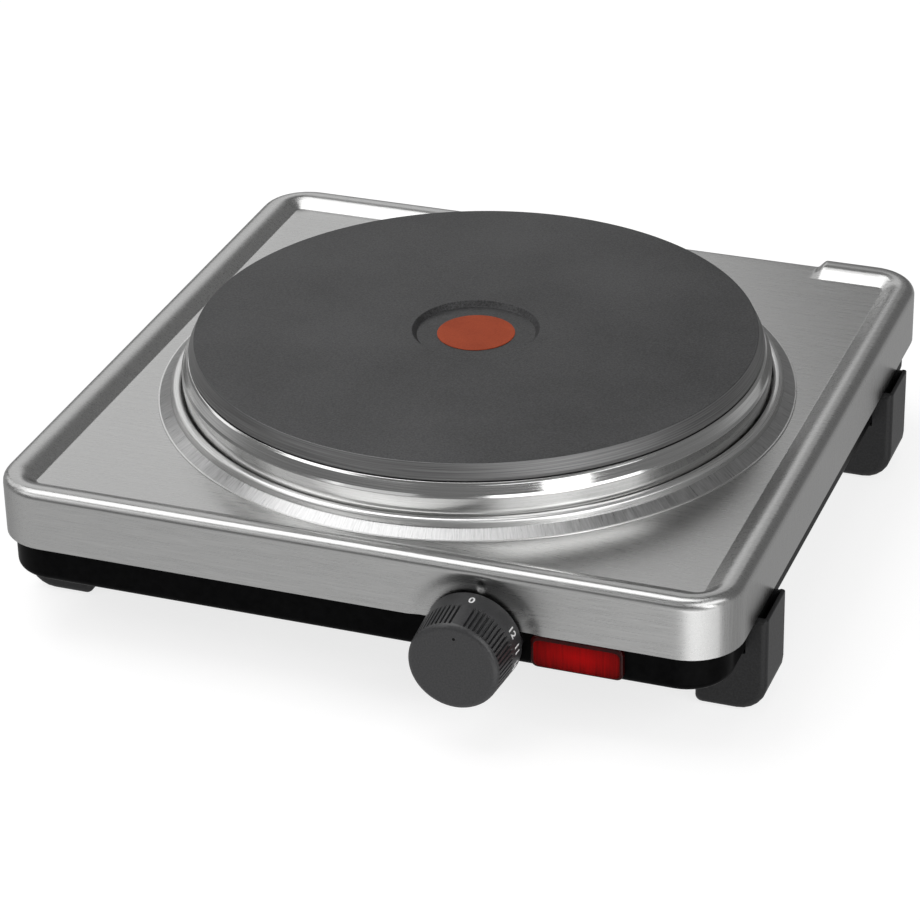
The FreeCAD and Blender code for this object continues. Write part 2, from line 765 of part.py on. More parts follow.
def make_regulator():
    """Box with a turning shaft, a cam on it, a spring contact above and blades at the back."""
    left = S.knob_x - S.housing_width / 2
    right = S.knob_x + S.housing_width / 2
    front = TRAY_INNER_FRONT
    back = front + S.housing_depth
    low = S.housing_low
    high = low + S.housing_height
    wall = S.housing_wall
    block = rounded_box("HousingBlock", left, right, front, back, low, high, 2)
    room = box("HousingRoom", left + wall, right - wall, front + wall, back + 1, low + wall, high - wall)
    bush = rod("HousingBush", S.shaft_radius + S.shaft_fit, S.knob_x, front + wall + 1, S.knob_z,
               wall + 2, FORWARD)
    holes = [rod(f"HousingThread{side}", S.screw_radius + 0.05, S.knob_x + S.fixing_reach * side,
                 front + 9, S.knob_z, 10, FORWARD) for side in (-1, 1)]
    bosses = [rod(f"HousingBoss{side}", S.head_radius, S.knob_x + S.fixing_reach * side,
                  front + 9, S.knob_z, 9, FORWARD) for side in (-1, 1)]
    hollow = cut("HousingHollow", block, room)
    keep("regulator_housing", cut("Housing", join("HousingBossed", hollow, *bosses), bush, *holes))
    cover_back = back + wall
    cover = rounded_box("CoverBlock", left, right, back, cover_back, low, high, 1, is_upright_end)
    keep("regulator_cover", cover)
    end = back - 3
    shaft = rod("ShaftRod", S.shaft_radius, S.knob_x, end, S.knob_z,
                end - S.knob_face - S.face_thick - 1, FORWARD)
    keep("regulator_shaft", shaft)
    cam_front = front + wall + 7
    cam = rod("CamBlank", S.cam_radius, S.knob_x, cam_front + 5, S.knob_z, 5, FORWARD)
    bore = rod("CamBore", S.shaft_radius, S.knob_x, cam_front + 6, S.knob_z, 7, FORWARD)
    keep("regulator_cam", cut("Cam", cam, bore))
    spring_low = S.knob_z + S.cam_radius + 0.6
    spring = box("ContactBlade", S.knob_x - 3, S.knob_x + 3, cam_front - 3, back,
                 spring_low, spring_low + 0.5)
    keep("contact_spring", spring)
    blades = []
    for number in range(BLADES_PER_ROW):
        start = left + 4 + CONTROL_BLADE_PITCH * number
        blades.append(box(f"RegulatorBlade{number}", start, start + BLADE_WIDTH, cover_back,
                          cover_back + BLADE_LENGTH, high - 6, high - 5.2))
    keep("regulator_terminals", group("RegulatorBlades", blades))
    screws = []
    for side in (-1, 1):
        x = S.knob_x + S.fixing_reach * side
        profile = [(0, 0), (S.head_radius - 0.4, 0), (S.head_radius - 0.4, 1.6), (S.screw_radius, 1.6),
                   (S.screw_radius, 9), (0, 9)]
        screw = screw_body(f"FixingScrew{side}", profile)
        screws.append(place(screw, x, S.tray_front - 1.6, S.knob_z, BACKWARD))
    keep("regulator_screws", group("FixingScrews", screws))


def is_upright_end(edge):
    return is_upright(edge) and edge.CenterOfMass.y > TRAY_INNER_FRONT.value + S.housing_depth.value + 1


# ---------------------------------------------------------------- pilot lamp

def lens_span(grow):
    half = S.lens_width / 2 + grow
    return S.lens_x - half, S.lens_x + half


def lens_rise(grow):
    half = S.lens_height / 2 + grow
    return S.lens_z - half, S.lens_z + half


def make_lamp():
    """Red lens snapped through the tray's front, a box behind it and a neon bulb in the box."""
    face = rounded_lens()
    window = box("LensPlug", *lens_span(-0.7), S.tray_front - 0.5, TRAY_INNER_FRONT + LAMP_BACKSET,
                 *lens_rise(-0.7))
    keep("pilot_lens", join("Lens", face, window))
    front = TRAY_INNER_FRONT + LAMP_BACKSET
    back = front + S.lamp_depth
    shell = box("LampBox", *lens_span(-0.2), front, back, *lens_rise(0))
    room = box("LampRoom", *lens_span(-1.7), front - 1, back - 1.5, *lens_rise(-1.5))
    keep("pilot_housing", cut("LampShell", shell, room))
    bulb = rod("Bulb", 2.8, S.lens_x - 9, front + 6, S.lens_z, 18, SIDEWAYS)
    keep("neon_bulb", bulb)


def rounded_lens():
    body = new_body("LensFace")
    left, right = lens_span(0)
    low, high = lens_rise(0)
    face = pad(body, outline(body, "XZ_Plane", rectangle(left, right, low, high)), S.lens_proud)

    def along_y(edge):
        return abs(edge.BoundBox.YMax - edge.BoundBox.YMin) > 1

    soften(body, face, S.lens_round, along_y)
    return place(body, 0, S.tray_front, 0)


# ---------------------------------------------------------------- mains entry

def make_mains():
    """Lead gland in the rear wall, and the block and earth screw on the tray floor near it."""
    wall_in = S.tray_rear - S.tray_wall
    bore = S.gland_bore
    profile = [(bore, wall_in - 4), (S.gland_barb, wall_in - 4), (S.gland_barb, wall_in),
               (S.gland_neck, wall_in), (S.gland_neck, S.tray_rear), (S.gland_flange, S.tray_rear),
               (S.gland_flange, S.tray_rear + 2.2), (S.gland_nose, S.tray_rear + 2.2),
               (S.gland_nose, S.casing_rear), (bore, S.casing_rear)]
    keep("cable_gland", turned_lengthwise("Gland", profile, S.gland_x, S.gland_z))
    left = S.gland_x - 15
    right = S.gland_x + 15
    front = S.tray_rear - MAINS_BLOCK_OFFSET
    block = rounded_box("MainsBlock", left, right, front, front + MAINS_BLOCK_DEPTH, TRAY_FLOOR,
                        TRAY_FLOOR + 12, 1.5)
    keep("mains_block", block)
    screws = [rod(f"MainsScrew{i}", 2.4, S.gland_x - 9 + 9 * i, front + 9, TRAY_FLOOR + 12, 1.5)
              for i in range(3)]
    keep("mains_block_screws", group("MainsScrews", screws))
    x = S.gland_x + 32
    y = S.tray_rear - 30
    tag = cut("EarthTag", box("TagBlank", x - 4, x + 14, y - 4, y + 4, TRAY_FLOOR, TRAY_FLOOR + 0.8),
              rod("TagHole", S.screw_radius, x, y, TRAY_FLOOR - 1, 3))
    keep("earth_tag", tag)
    head = rod("EarthHead", S.head_radius - 0.5, x, y, TRAY_FLOOR + 0.8, S.head_thick)
    shank = rod("EarthShank", S.screw_radius, x, y, TRAY_FLOOR, 1.5)
    keep("earth_screw", join("EarthScrew", head, shank))


# ---------------------------------------------------------------- internal leads

def lead_path(points, bend):
    """Straight runs joined by tangent arcs of one bend radius."""
    edges = []
    start = points[0]
    for before, corner, after in zip(points, points[1:], points[2:]):
        arrive = (corner - before).normalize()
        leave = (after - corner).normalize()
        turn = arrive.getAngle(leave)
        reach = bend * math.tan(turn / 2)
        first = corner - arrive * reach
        last = corner + leave * reach
        inward = (leave - arrive).normalize()
        middle = corner + inward * (bend / math.cos(turn / 2) - bend)
        edges.append(Part.LineSegment(start, first).toShape())
        edges.append(Part.Arc(first, middle, last).toShape())
        start = last
    edges.append(Part.LineSegment(start, points[-1]).toShape())
    return Part.Wire(edges)


def make_lead(label, points, bend=6.0):
    """Insulated lead along a route, as one round tube."""
    points = [Vector(*[as_size(value).value for value in point]) for point in points]
    path = lead_path(points, bend)
    section = Part.Wire(Part.makeCircle(S.lead_radius.value, points[0], points[1] - points[0]))
    tube = path.makePipeShell([section], True, False)
    item = doc.addObject("Part::Feature", label)
    item.Shape = tube
    keep(label, item)


def make_leads():
    """Six leads that join mains block, control, plate, lamp and the earth screw."""
    block_front = S.tray_rear - MAINS_BLOCK_OFFSET
    blade_end = TRAY_INNER_FRONT + S.housing_depth + S.housing_wall + BLADE_LENGTH
    blade_z = S.housing_low + S.housing_height - 5.6
    blade_x = [S.knob_x - S.housing_width / 2 + 6.5 + CONTROL_BLADE_PITCH * number
               for number in range(BLADES_PER_ROW)]
    plate_blade_y = S.plate_y + PLATE_BLOCK_OFFSET + PLATE_BLOCK_DEPTH / 2
    plate_blade_z = S.deck_top + S.plate_under - S.cover_thick - 17
    run_z = TRAY_FLOOR + 6
    make_lead("lead_live", [(S.gland_x - 9, block_front, run_z), (S.gland_x - 9, 70, run_z),
                            (-40, -20, run_z), (blade_x[0], -50, blade_z), (blade_x[0], blade_end, blade_z)])
    make_lead("lead_neutral", [(S.gland_x + 15, 111, run_z), (-30, 111, run_z),
                               (-13.2, plate_blade_y, 38), (-13.2, plate_blade_y, plate_blade_z)])
    make_lead("lead_plate_feed", [(blade_x[1], blade_end, blade_z), (blade_x[1], -74, blade_z),
                                  (38, -46, 36), (20, 20, 34), (-4.4, 80, 34),
                                  (-4.4, plate_blade_y, 39), (-4.4, plate_blade_y, plate_blade_z)], 4.0)
    make_lead("lead_earth", [(S.gland_x + 9, block_front, run_z), (S.gland_x + 9, 88, run_z),
                             (-22, 88, 28), (-18, 118, TRAY_FLOOR + 1.35),
                             (-34, 118, TRAY_FLOOR + 1.35)], 5.0)
    lamp_back = TRAY_INNER_FRONT + LAMP_BACKSET + S.lamp_depth
    make_lead("lamp_lead_short", [(80, lamp_back, S.lens_z), (80, -95, S.lens_z), (80, -72, 38),
                                  (blade_x[3], -72, blade_z), (blade_x[3], blade_end, blade_z)])
    make_lead("lamp_lead_long", [(92, lamp_back, S.lens_z), (92, -90, S.lens_z), (88, -60, 38),
                                 (blade_x[2], -58, blade_z), (blade_x[2], blade_end, blade_z)])


# ---------------------------------------------------------------- whole appliance

def check_document():
    """Stop with a message if any object failed, or any sub-part has no sound shape."""
    for item in doc.Objects:
        if "Invalid" in item.State or "Error" in item.State:
            raise RuntimeError(f"{item.Label} failed: {item.State}")
    for label, item in parts.items():
        if item.Shape.isNull() or not item.Shape.isValid():
            raise RuntimeError(f"{label} has no sound shape")


def main():
    makers = (make_casing, make_hot_plate, make_marker, make_coils, make_plate_cover, make_protector,
              make_plate_terminals, make_spill_ring, make_stack, make_clamp_bar, make_tray, make_feet,
              make_posts, make_knob, make_regulator, make_lamp, make_mains, make_leads)
    for make in makers:
        make()
    doc.recompute()
    check_document()
    os.makedirs("parts", exist_ok=True)
    for label, item in parts.items():
        item.Shape.exportStep(f"parts/{label}.step")
    print(f"{len(parts)} parts written")


main()
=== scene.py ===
import json
import math

import bmesh
import bpy
from mathutils import Matrix, Vector


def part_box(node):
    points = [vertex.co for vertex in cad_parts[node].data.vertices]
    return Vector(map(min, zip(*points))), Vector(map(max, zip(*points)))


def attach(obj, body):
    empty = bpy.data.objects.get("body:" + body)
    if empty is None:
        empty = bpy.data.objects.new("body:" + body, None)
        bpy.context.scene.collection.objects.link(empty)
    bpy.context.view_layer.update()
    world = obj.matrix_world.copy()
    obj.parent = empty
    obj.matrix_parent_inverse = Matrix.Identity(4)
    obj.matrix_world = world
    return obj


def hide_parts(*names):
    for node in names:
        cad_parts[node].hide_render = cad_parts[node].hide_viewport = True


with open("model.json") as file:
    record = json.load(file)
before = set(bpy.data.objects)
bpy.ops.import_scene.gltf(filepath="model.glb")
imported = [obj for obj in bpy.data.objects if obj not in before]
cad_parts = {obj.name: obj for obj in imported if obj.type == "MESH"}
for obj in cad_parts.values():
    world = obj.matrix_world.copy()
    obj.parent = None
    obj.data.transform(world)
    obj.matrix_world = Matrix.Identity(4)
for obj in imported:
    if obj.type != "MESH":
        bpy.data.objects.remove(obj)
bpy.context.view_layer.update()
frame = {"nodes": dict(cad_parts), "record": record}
MM = 0.001
LEDGE = 3.2  # height above the deck of the ledge that carries the plate's seal, in millimetres

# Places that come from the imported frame, in metres.
PLATE_LOW, PLATE_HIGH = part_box("hot_plate")
CENTRE = Vector(((PLATE_LOW.x + PLATE_HIGH.x) / 2, (PLATE_LOW.y + PLATE_HIGH.y) / 2, 0))
PLATE_TOP = PLATE_HIGH.z
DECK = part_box("plate_seal")[0].z - LEDGE * MM
CASING_LOW, CASING_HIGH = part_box("top_casing")
TRAY_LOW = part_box("base_pan")[0]
KNOB_LOW, KNOB_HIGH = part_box("control_knob")
KNOB = Vector(((KNOB_LOW.x + KNOB_HIGH.x) / 2, 0, (KNOB_LOW.z + KNOB_HIGH.z) / 2))
LENS_LOW, LENS_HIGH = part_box("pilot_lens")
MARKER_LOW, MARKER_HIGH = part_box("red_marker")

# The casing's steel, between its darkest and lightest grain.
STEEL_DARK = (0.43, 0.43, 0.427)
STEEL_LIGHT = (0.55, 0.55, 0.545)


# ---------------------------------------------------------------- mesh tools

def add_piece(name, mesh, body="root", replaced=(), materials=()):
    """Link a mesh as a piece that rides on a body and stands for the CAD nodes named."""
    piece = bpy.data.objects.new(name, mesh)
    bpy.context.scene.collection.objects.link(piece)
    for material in materials:
        mesh.materials.append(material)
    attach(piece, body)
    if replaced:
        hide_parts(*replaced)
    return piece


def mesh_from(name, vertices, faces, smooth=True):
    """A mesh from its vertices and faces."""
    mesh = bpy.data.meshes.new(name)
    mesh.from_pydata([tuple(v) for v in vertices], [], faces)
    mesh.update()
    for polygon in mesh.polygons:
        polygon.use_smooth = smooth
    return mesh


def weld(mesh):
    """Merge vertices in one place, such as those on an axis, and drop the faces that this empties."""
    distance = 1e-7
    tool = bmesh.new()
    tool.from_mesh(mesh)
    bmesh.ops.remove_doubles(tool, verts=tool.verts, dist=distance)
    bmesh.ops.dissolve_degenerate(tool, edges=tool.edges, dist=distance)
    tool.to_mesh(mesh)
    tool.free()


def turn_outwards(mesh):
    """Turn every face's normal away from the inside of a closed mesh."""
    tool = bmesh.new()
    tool.from_mesh(mesh)
    bmesh.ops.recalc_face_normals(tool, faces=tool.faces)
    tool.to_mesh(mesh)
    tool.free()


def even_normals(piece, angle=35):
    """Sharp where faces meet at more than the angle, smooth and area-weighted elsewhere."""
    mesh = piece.data
    tool = bmesh.new()
    tool.from_mesh(mesh)
    limit = math.radians(angle)
    for edge in tool.edges:
        edge.smooth = len(edge.link_faces) == 2 and edge.calc_face_angle(0) < limit
    tool.to_mesh(mesh)
    tool.free()
    modifier = piece.modifiers.new("Normals", "WEIGHTED_NORMAL")
    modifier.keep_sharp = True
    modifier.weight = 60
    return piece


def rounded(points, radius, steps=5, closed=False):
    """A polyline with its corners turned into arcs. radius is one number, or one for each point."""
    nearly_straight = 1e-4
    longest_reach = 0.49
    points = [Vector(p) for p in points]
    count = len(points)
    radii = radius if isinstance(radius, (list, tuple)) else [radius] * count
    line = []
    for i, point in enumerate(points):
        is_end = not closed and i in (0, count - 1)
        if is_end or radii[i] <= 0:
            line.append(point)
            continue
        before = points[i - 1] - point
        after = points[(i + 1) % count] - point
        turn = math.pi - before.angle(after)
        limit = longest_reach * min(before.length, after.length)
        if turn < nearly_straight:
            run = after.normalized() * min(radii[i], limit)
            line += [point + run * (2 * k / steps - 1) for k in range(steps + 1)]
            continue
        reach = min(radii[i] * math.tan(turn / 2), limit)
        arc = reach / math.tan(turn / 2)
        first = before.normalized()
        last = after.normalized()
        middle = point + (first + last).normalized() * (arc / math.cos(turn / 2))
        start = point + first * reach - middle
        end = point + last * reach - middle
        for k in range(steps + 1):
            line.append(middle + slerp(start, end, k / steps))
    return line


def slerp(start, end, share):
    """Point on the arc from start to end about the origin, at a share of the way."""
    angle = start.angle(end)
    if angle < 1e-6:
        return start.lerp(end, share)
    return (start * math.sin((1 - share) * angle) + end * math.sin(share * angle)) / math.sin(angle)


def skin(loops, closed_skin=False):
    """Faces between successive closed loops of equal length, numbered loop by loop."""
    faces = []
    size = len(loops[0])
    rows = len(loops)
    for i in range(rows if closed_skin else rows - 1):
        for k in range(size):
            a = i * size + k
            b = i * size + (k + 1) % size
            c = (i + 1) % rows * size + (k + 1) % size
            d = (i + 1) % rows * size + k
            faces.append((a, b, c, d))
    return faces


def lathe(name, outline, centre=CENTRE, steps=256, closed=True, axis="Z"):
    """A turned mesh from an outline of (radius, height) pairs; a radius of zero closes it."""
    loops = []
    for radius, height in outline:
        loop = []
        for k in range(steps):
            angle = 2 * math.pi * k / steps
            across, along = radius * math.cos(angle), radius * math.sin(angle)
            if axis == "Z":
                loop.append(Vector((centre.x + across, centre.y + along, height)))
            else:
                loop.append(Vector((centre.x + along, height, centre.z + across)))
        loops.append(loop)
    mesh = mesh_from(name, [v for loop in loops for v in loop], skin(loops, closed))
    weld(mesh)
    turn_outwards(mesh)
    return mesh


def smoothstep(low, high, value):
    """Zero up to low, one from high, and a soft rise between."""
    share = min(1.0, max(0.0, (value - low) / (high - low)))
    return share * share * (3 - 2 * share)


def between(start, end, share):
    """Number at a share of the way from start to end."""
    return start + (end - start) * share


def reach_from_centre(polygon):
    """Distance of a face's middle from the plate's axis."""
    return math.hypot(polygon.center.x - CENTRE.x, polygon.center.y - CENTRE.y)


# ---------------------------------------------------------------- node materials

class Nodes:
    """A node material under construction, with short names for the usual nodes.

    A value given for a socket is a number, a colour, or another node's output, which is linked.
    """

    def __init__(self, name, **shader_values):
        self.material = bpy.data.materials.new(name)
        self.material.use_nodes = True
        self.tree = self.material.node_tree
        self.shader = self.tree.nodes["Principled BSDF"]
        for socket, value in shader_values.items():
            self.set(socket, value)

    def set(self, socket, value):
        """Give the shader's socket a value; an underscore in its name stands for a space."""
        target = self.shader.inputs[socket.replace("_", " ")]
        if hasattr(value, "links"):
            self.tree.links.new(value, target)
        elif isinstance(value, (tuple, list)) and len(value) == 3:
            target.default_value = (*value, 1)
        else:
            target.default_value = value

    def node(self, kind, inputs=None, **settings):
        """A node with its inputs, by name or number, and its settings."""
        made = self.tree.nodes.new(kind)
        for key, value in settings.items():
            setattr(made, key, value)
        for key, value in (inputs or {}).items():
            socket = made.inputs[key]
            if hasattr(value, "links"):
                self.tree.links.new(value, socket)
            else:
                socket.default_value = value
        return made

    def vector(self, operation, *inputs, output=0):
        """Output of a vector sum."""
        made = self.node("ShaderNodeVectorMath", dict(enumerate(inputs)), operation=operation)
        return made.outputs[output]

    def seen_from(self, centre):
        """Object coordinates measured from a point."""
        coords = self.node("ShaderNodeTexCoord").outputs["Object"]
        return self.vector("ADD", coords, tuple(-c for c in centre))

    def place(self, scale=(1, 1, 1), centre=(0, 0, 0)):
        """Object coordinates, moved and stretched, so that a pattern can run along an axis."""
        return self.vector("MULTIPLY", self.seen_from(centre), scale)

    def outward(self, centre):
        """Direction straight away from an upright axis."""
        return self.vector("MULTIPLY", self.seen_from(centre), (1, 1, 0))

    def polar(self, centre):
        """Radius, angle and height about an upright axis."""
        split = self.node("ShaderNodeSeparateXYZ", {0: self.seen_from(centre)})
        flat = self.node("ShaderNodeCombineXYZ", {0: split.outputs[0], 1: split.outputs[1]})
        radius = self.vector("LENGTH", flat.outputs[0], output="Value")
        angle = self.math("ARCTAN2", split.outputs[1], split.outputs[0])
        return radius, angle, split.outputs[2]

    def around(self, angle_scale, radius_scale=0.0, height_scale=0.0):
        """Coordinates about the plate's axis, stretched, for lines that run round it or out from it."""
        radius, angle, height = self.polar(CENTRE)
        joined = {0: self.math("MULTIPLY", angle, angle_scale)}
        if radius_scale:
            joined[1] = self.math("MULTIPLY", radius, radius_scale)
        if height_scale:
            joined[2] = self.math("MULTIPLY", height, height_scale)
        return self.node("ShaderNodeCombineXYZ", joined).outputs[0]

    def math(self, operation, a, b=0.0):
        """Output of a sum on numbers."""
        return self.node("ShaderNodeMath", {0: a, 1: b}, operation=operation).outputs[0]

    def noise(self, vector, scale, detail, roughness):
        """Noise from 0 to 1."""
        inputs = {"Vector": vector, "Scale": scale, "Detail": detail, "Roughness": roughness}
        return self.node("ShaderNodeTexNoise", inputs).outputs["Fac"]

    def ramp(self, value, low, high, new_low, new_high):
        """Value carried from the range low to high over to the range new_low to new_high, and held there."""
        inputs = {"Value": value, "From Min": low, "From Max": high, "To Min": new_low, "To Max": new_high}
        return self.node("ShaderNodeMapRange", inputs).outputs[0]

    def colour(self, grain, dark, light, low=0.3, high=0.7):
        """Base colour from dark to light, following a grain between two of its levels."""
        self.set("Base_Color", self.mix(self.ramp(grain, low, high, 0, 1), dark, light))

    def roughness(self, grain, smooth, rough):
        """Roughness from smooth to rough, following a grain."""
        self.set("Roughness", self.ramp(grain, 0.3, 0.7, smooth, rough))

    def weighted(self, fine, coarse, share):
        """Two patterns added, the fine one with a share of the whole."""
        return self.math("ADD", self.math("MULTIPLY", fine, share), self.math("MULTIPLY", coarse, 1 - share))

    def mix(self, factor, a, b):
        """Colour between a and b."""
        made = self.node("ShaderNodeMix", data_type="RGBA")
        for index, value in ((0, factor), (6, a), (7, b)):
            if hasattr(value, "links"):
                self.tree.links.new(value, made.inputs[index])
            elif index:
                made.inputs[index].default_value = (*value, 1)
            else:
                made.inputs[index].default_value = value
        return made.outputs[2]

    def blend(self, factor, a, b):
        """Number between a and b."""
        return self.node("ShaderNodeMix", {0: factor, 2: a, 3: b}, data_type="FLOAT").outputs[0]

    def bump(self, height, distance, strength):
        """Normal tilted by a height pattern that is distance metres deep."""
        inputs = {"Height": height, "Distance": distance, "Strength": strength}
        return self.node("ShaderNodeBump", inputs).outputs[0]


def brushed_steel():
    """Satin sheet brushed along X before pressing, so the grain runs down the left and right skirts."""
    made = Nodes("casing_brushed", Metallic=1.0, Anisotropic=0.75)
    normal = made.node("ShaderNodeNewGeometry").outputs["Normal"]
    facing = made.node("ShaderNodeSeparateXYZ", {0: normal})
    sideways = made.math("ABSOLUTE", facing.outputs[0])
    on_side = made.ramp(sideways, 0.6, 0.9, 0, 1)
    grains = []
    for along, across, share in ((26, 1100, 0.35), (90, 3800, 0.65)):
        flat = made.noise(made.place((along, across, across)), 1.0, 3, 0.6)
        upright = made.noise(made.place((across, across, along)), 1.0, 3, 0.6)
        grains.append(made.math("MULTIPLY", made.blend(on_side, flat, upright), share))
    grain = made.math("ADD", *grains)
    made.colour(grain, STEEL_DARK, STEEL_LIGHT, 0.32, 0.68)
    made.roughness(grain, 0.24, 0.34)
    made.set("Normal", made.bump(grain, 0.00003, 0.35))
    towards_top = made.math("ABSOLUTE", facing.outputs[2])
    towards_front = made.math("ABSOLUTE", facing.outputs[1])
    level = made.math("ADD", towards_top, towards_front)
    falling = made.math("MULTIPLY", facing.outputs[0], -1.0)
    made.set("Tangent", made.node("ShaderNodeCombineXYZ", {0: level, 2: falling}).outputs[0])
    return made.material


def radial_steel():
    """Collar band, scratched from its middle outwards."""
    made = Nodes("collar_scratched", Metallic=1.0, Anisotropic=0.6)
    grain = made.noise(made.around(170.0, 130.0), 1.0, 3, 0.7)
    made.colour(grain, (0.34, 0.34, 0.34), (0.58, 0.58, 0.58))
    made.roughness(grain, 0.26, 0.42)
    made.set("Normal", made.bump(grain, 0.00006, 0.6))
    made.set("Tangent", made.outward(CENTRE))
    return made.material


def polished_steel(name, smooth, rough):
    """Spun and polished, with faint lines running round."""
    made = Nodes(name, Metallic=1.0)
    grain = made.noise(made.around(3.0, 3000.0, 3000.0), 1.0, 2, 0.5)
    made.colour(grain, (0.60, 0.60, 0.595), (0.72, 0.72, 0.715))
    made.roughness(grain, smooth, rough)
    made.set("Normal", made.bump(grain, 0.00001, 0.3))
    return made.material


def plate_iron():
    """Blasted, heat-blackened iron: fine grain with a few lighter specks."""
    made = Nodes("plate_blasted_iron", Metallic=0.35)
    grain = made.noise(made.place(), 1300.0, 3, 0.75)
    broad = made.noise(made.place(), 18.0, 3, 0.5)
    tone = made.weighted(grain, broad, 0.75)
    made.colour(tone, (0.011, 0.011, 0.0115), (0.072, 0.072, 0.074), 0.35, 0.65)
    made.roughness(grain, 0.38, 0.50)
    made.set("Normal", made.bump(grain, 0.00012, 0.6))
    return made.material


def plate_edge():
    """Turned edge of the plate: bare iron with fine circular tool lines."""
    made = Nodes("plate_turned_edge", Metallic=0.8)
    _, angle, height = made.polar(CENTRE)
    wound = {0: made.math("MULTIPLY", angle, 2.0), 1: made.math("MULTIPLY", height, 2600.0)}
    grain = made.noise(made.node("ShaderNodeCombineXYZ", wound).outputs[0], 1.0, 3, 0.6)
    made.colour(grain, (0.13, 0.13, 0.13), (0.24, 0.24, 0.24), 0.35, 0.65)
    made.roughness(grain, 0.38, 0.5)
    made.set("Normal", made.bump(grain, 0.00004, 0.5))
    return made.material


def red_enamel():
    """Matt red enamel of the marker, slightly uneven."""
    made = Nodes("marker_enamel", Specular_IOR_Level=0.25)
    grain = made.noise(made.place(), 1800.0, 3, 0.7)
    broad = made.noise(made.place(), 90.0, 3, 0.5)
    tone = made.weighted(grain, broad, 0.6)
    made.colour(tone, (0.255, 0.034, 0.007), (0.36, 0.055, 0.014), 0.35, 0.65)
    made.set("Roughness", 0.62)
    made.set("Normal", made.bump(grain, 0.0001, 0.5))
    return made.material


def satin_paint():
    """Black powder coat with a slight orange peel."""
    made = Nodes("tray_black_coat", Roughness=0.30, Specular_IOR_Level=0.03)
    peel = made.noise(made.place(), 420.0, 2, 0.5)
    made.colour(peel, (0.0012, 0.0012, 0.0013), (0.0026, 0.0026, 0.0028))
    made.set("Normal", made.bump(peel, 0.0001, 0.25))
    return made.material


def moulded_plastic(name, dark, light, roughness, gloss=0.5):
    """Moulded plastic with a fine spark-eroded grain."""
    made = Nodes(name, Specular_IOR_Level=gloss)
    grain = made.noise(made.place(), 1500.0, 2, 0.5)
    made.colour(grain, dark, light)
    made.roughness(grain, roughness - 0.05, roughness + 0.05)
    made.set("Normal", made.bump(grain, 0.00005, 0.5))
    return made.material


def red_lens():
    """Clear red plastic in fine upright bands, with a painted glow bright in the middle and painted shade
    towards the edges.
    """
    made = Nodes("lens_red_plastic", Roughness=0.4, Specular_IOR_Level=0.05)
    bands = made.noise(made.place((1400, 40, 60)), 1.0, 2, 0.6)
    # Painted glow and shade: the colour is brightest at the lens's middle and falls to dark red at its edges,
    # standing in for lamp light from behind.
    middle = (LENS_LOW + LENS_HIGH) / 2
    half = (LENS_HIGH - LENS_LOW) / 2
    spot = made.place((1 / half.x, 0, 1 / half.z), middle)
    reach = made.vector("LENGTH", spot, output="Value")
    painted_lamp_glow = made.ramp(reach, 0.1, 1.15, 1.0, 0.0)
    share = made.math("ADD", made.math("MULTIPLY", painted_lamp_glow, 0.75), made.ramp(bands, 0.3, 0.7, 0, 0.3))
    made.set("Base_Color", made.mix(share, (0.055, 0.0002, 0.0003), (0.36, 0.0006, 0.001)))
    made.set("Normal", made.bump(bands, 0.0001, 0.3))
    return made.material


def lens_frame():
    """Clear border of the lens, dark because nothing behind it is lit."""
    made = Nodes("lens_clear_border", Roughness=0.12, Specular_IOR_Level=0.15)
    grain = made.noise(made.place(), 300.0, 2, 0.5)
    made.colour(grain, (0.016, 0.0006, 0.0006), (0.034, 0.001, 0.001))
    return made.material


def white_print():
    """White ink of the dial's numbers."""
    made = Nodes("dial_print", Roughness=0.5)
    grain = made.noise(made.place(), 1600.0, 2, 0.5)
    made.colour(grain, (0.66, 0.66, 0.66), (0.82, 0.82, 0.82))
    return made.material


def plain(name, tone, roughness, metallic):
    """Finish for the pieces inside: a base tone broken up by grain, with matching roughness."""
    made = Nodes(name, Metallic=metallic)
    grain = made.noise(made.place(), 900.0, 3, 0.6)
    made.colour(grain, tuple(c * 0.8 for c in tone), tuple(min(1.0, c * 1.15) for c in tone))
    made.roughness(grain, roughness - 0.08, roughness + 0.08)
    made.set("Normal", made.bump(grain, 0.00003, 0.4))
    return made.material


# ---------------------------------------------------------------- casing

RIM_WIDTH = 13.7 * MM
RECESS_CORNER = 2.5 * MM
CASING_CORNER = 20 * MM
SKIRT_DEPTH = DECK - CASING_LOW.z
GAP_LEFT = -40 * MM
GAP_RIGHT = 99.3 * MM
GAP_BLEND = 4.5 * MM
GAP_END_SPAN = 6 * MM
WALL = 0.8 * MM
SKIRT_ROWS = 32
CORNER_STEPS = 12
BEAD_FOOT = 117.45 * MM
COLLAR_EDGE = 121.95 * MM
DISH_RADIUS = 26 * MM
DISH_DEPTH = 0.65 * MM
DISH_BLEND = 5 * MM
DISH_SPAN = 34 * MM
MARK_SPAN = 4 * MM
FRONT_REACH = 6 * MM
MARK_SHIFT = 2.8 * MM
MARK_DROP = 4.4 * MM
MARK_HALF_WIDTH = 2.3 * MM
MARK_HALF_HEIGHT = 3.2 * MM
MARK_DEPTH = 0.8 * MM


def side_steps(low, high, coarse, fine_zones):
    """Stations from low to high, closer together inside each (start, end, step) zone."""
    digits = 7
    least_step = 0.3 * MM
    stations = {round(low, digits), round(high, digits)}
    count = max(1, round((high - low) / coarse))
    for k in range(count + 1):
        spot = low + (high - low) * k / count
        if not any(start < spot < end for start, end, step in fine_zones):
            stations.add(round(spot, digits))
    for start, end, step in fine_zones:
        start, end = max(start, low), min(end, high)
        zone_count = max(1, round((end - start) / step))
        stations |= {round(start + (end - start) * k / zone_count, digits) for k in range(zone_count + 1)}
    ordered = sorted(stations)
    kept = [ordered[0]]
    for spot in ordered[1:-1]:
        if spot - kept[-1] > least_step and ordered[-1] - spot > least_step:
            kept.append(spot)
    return kept + [ordered[-1]]


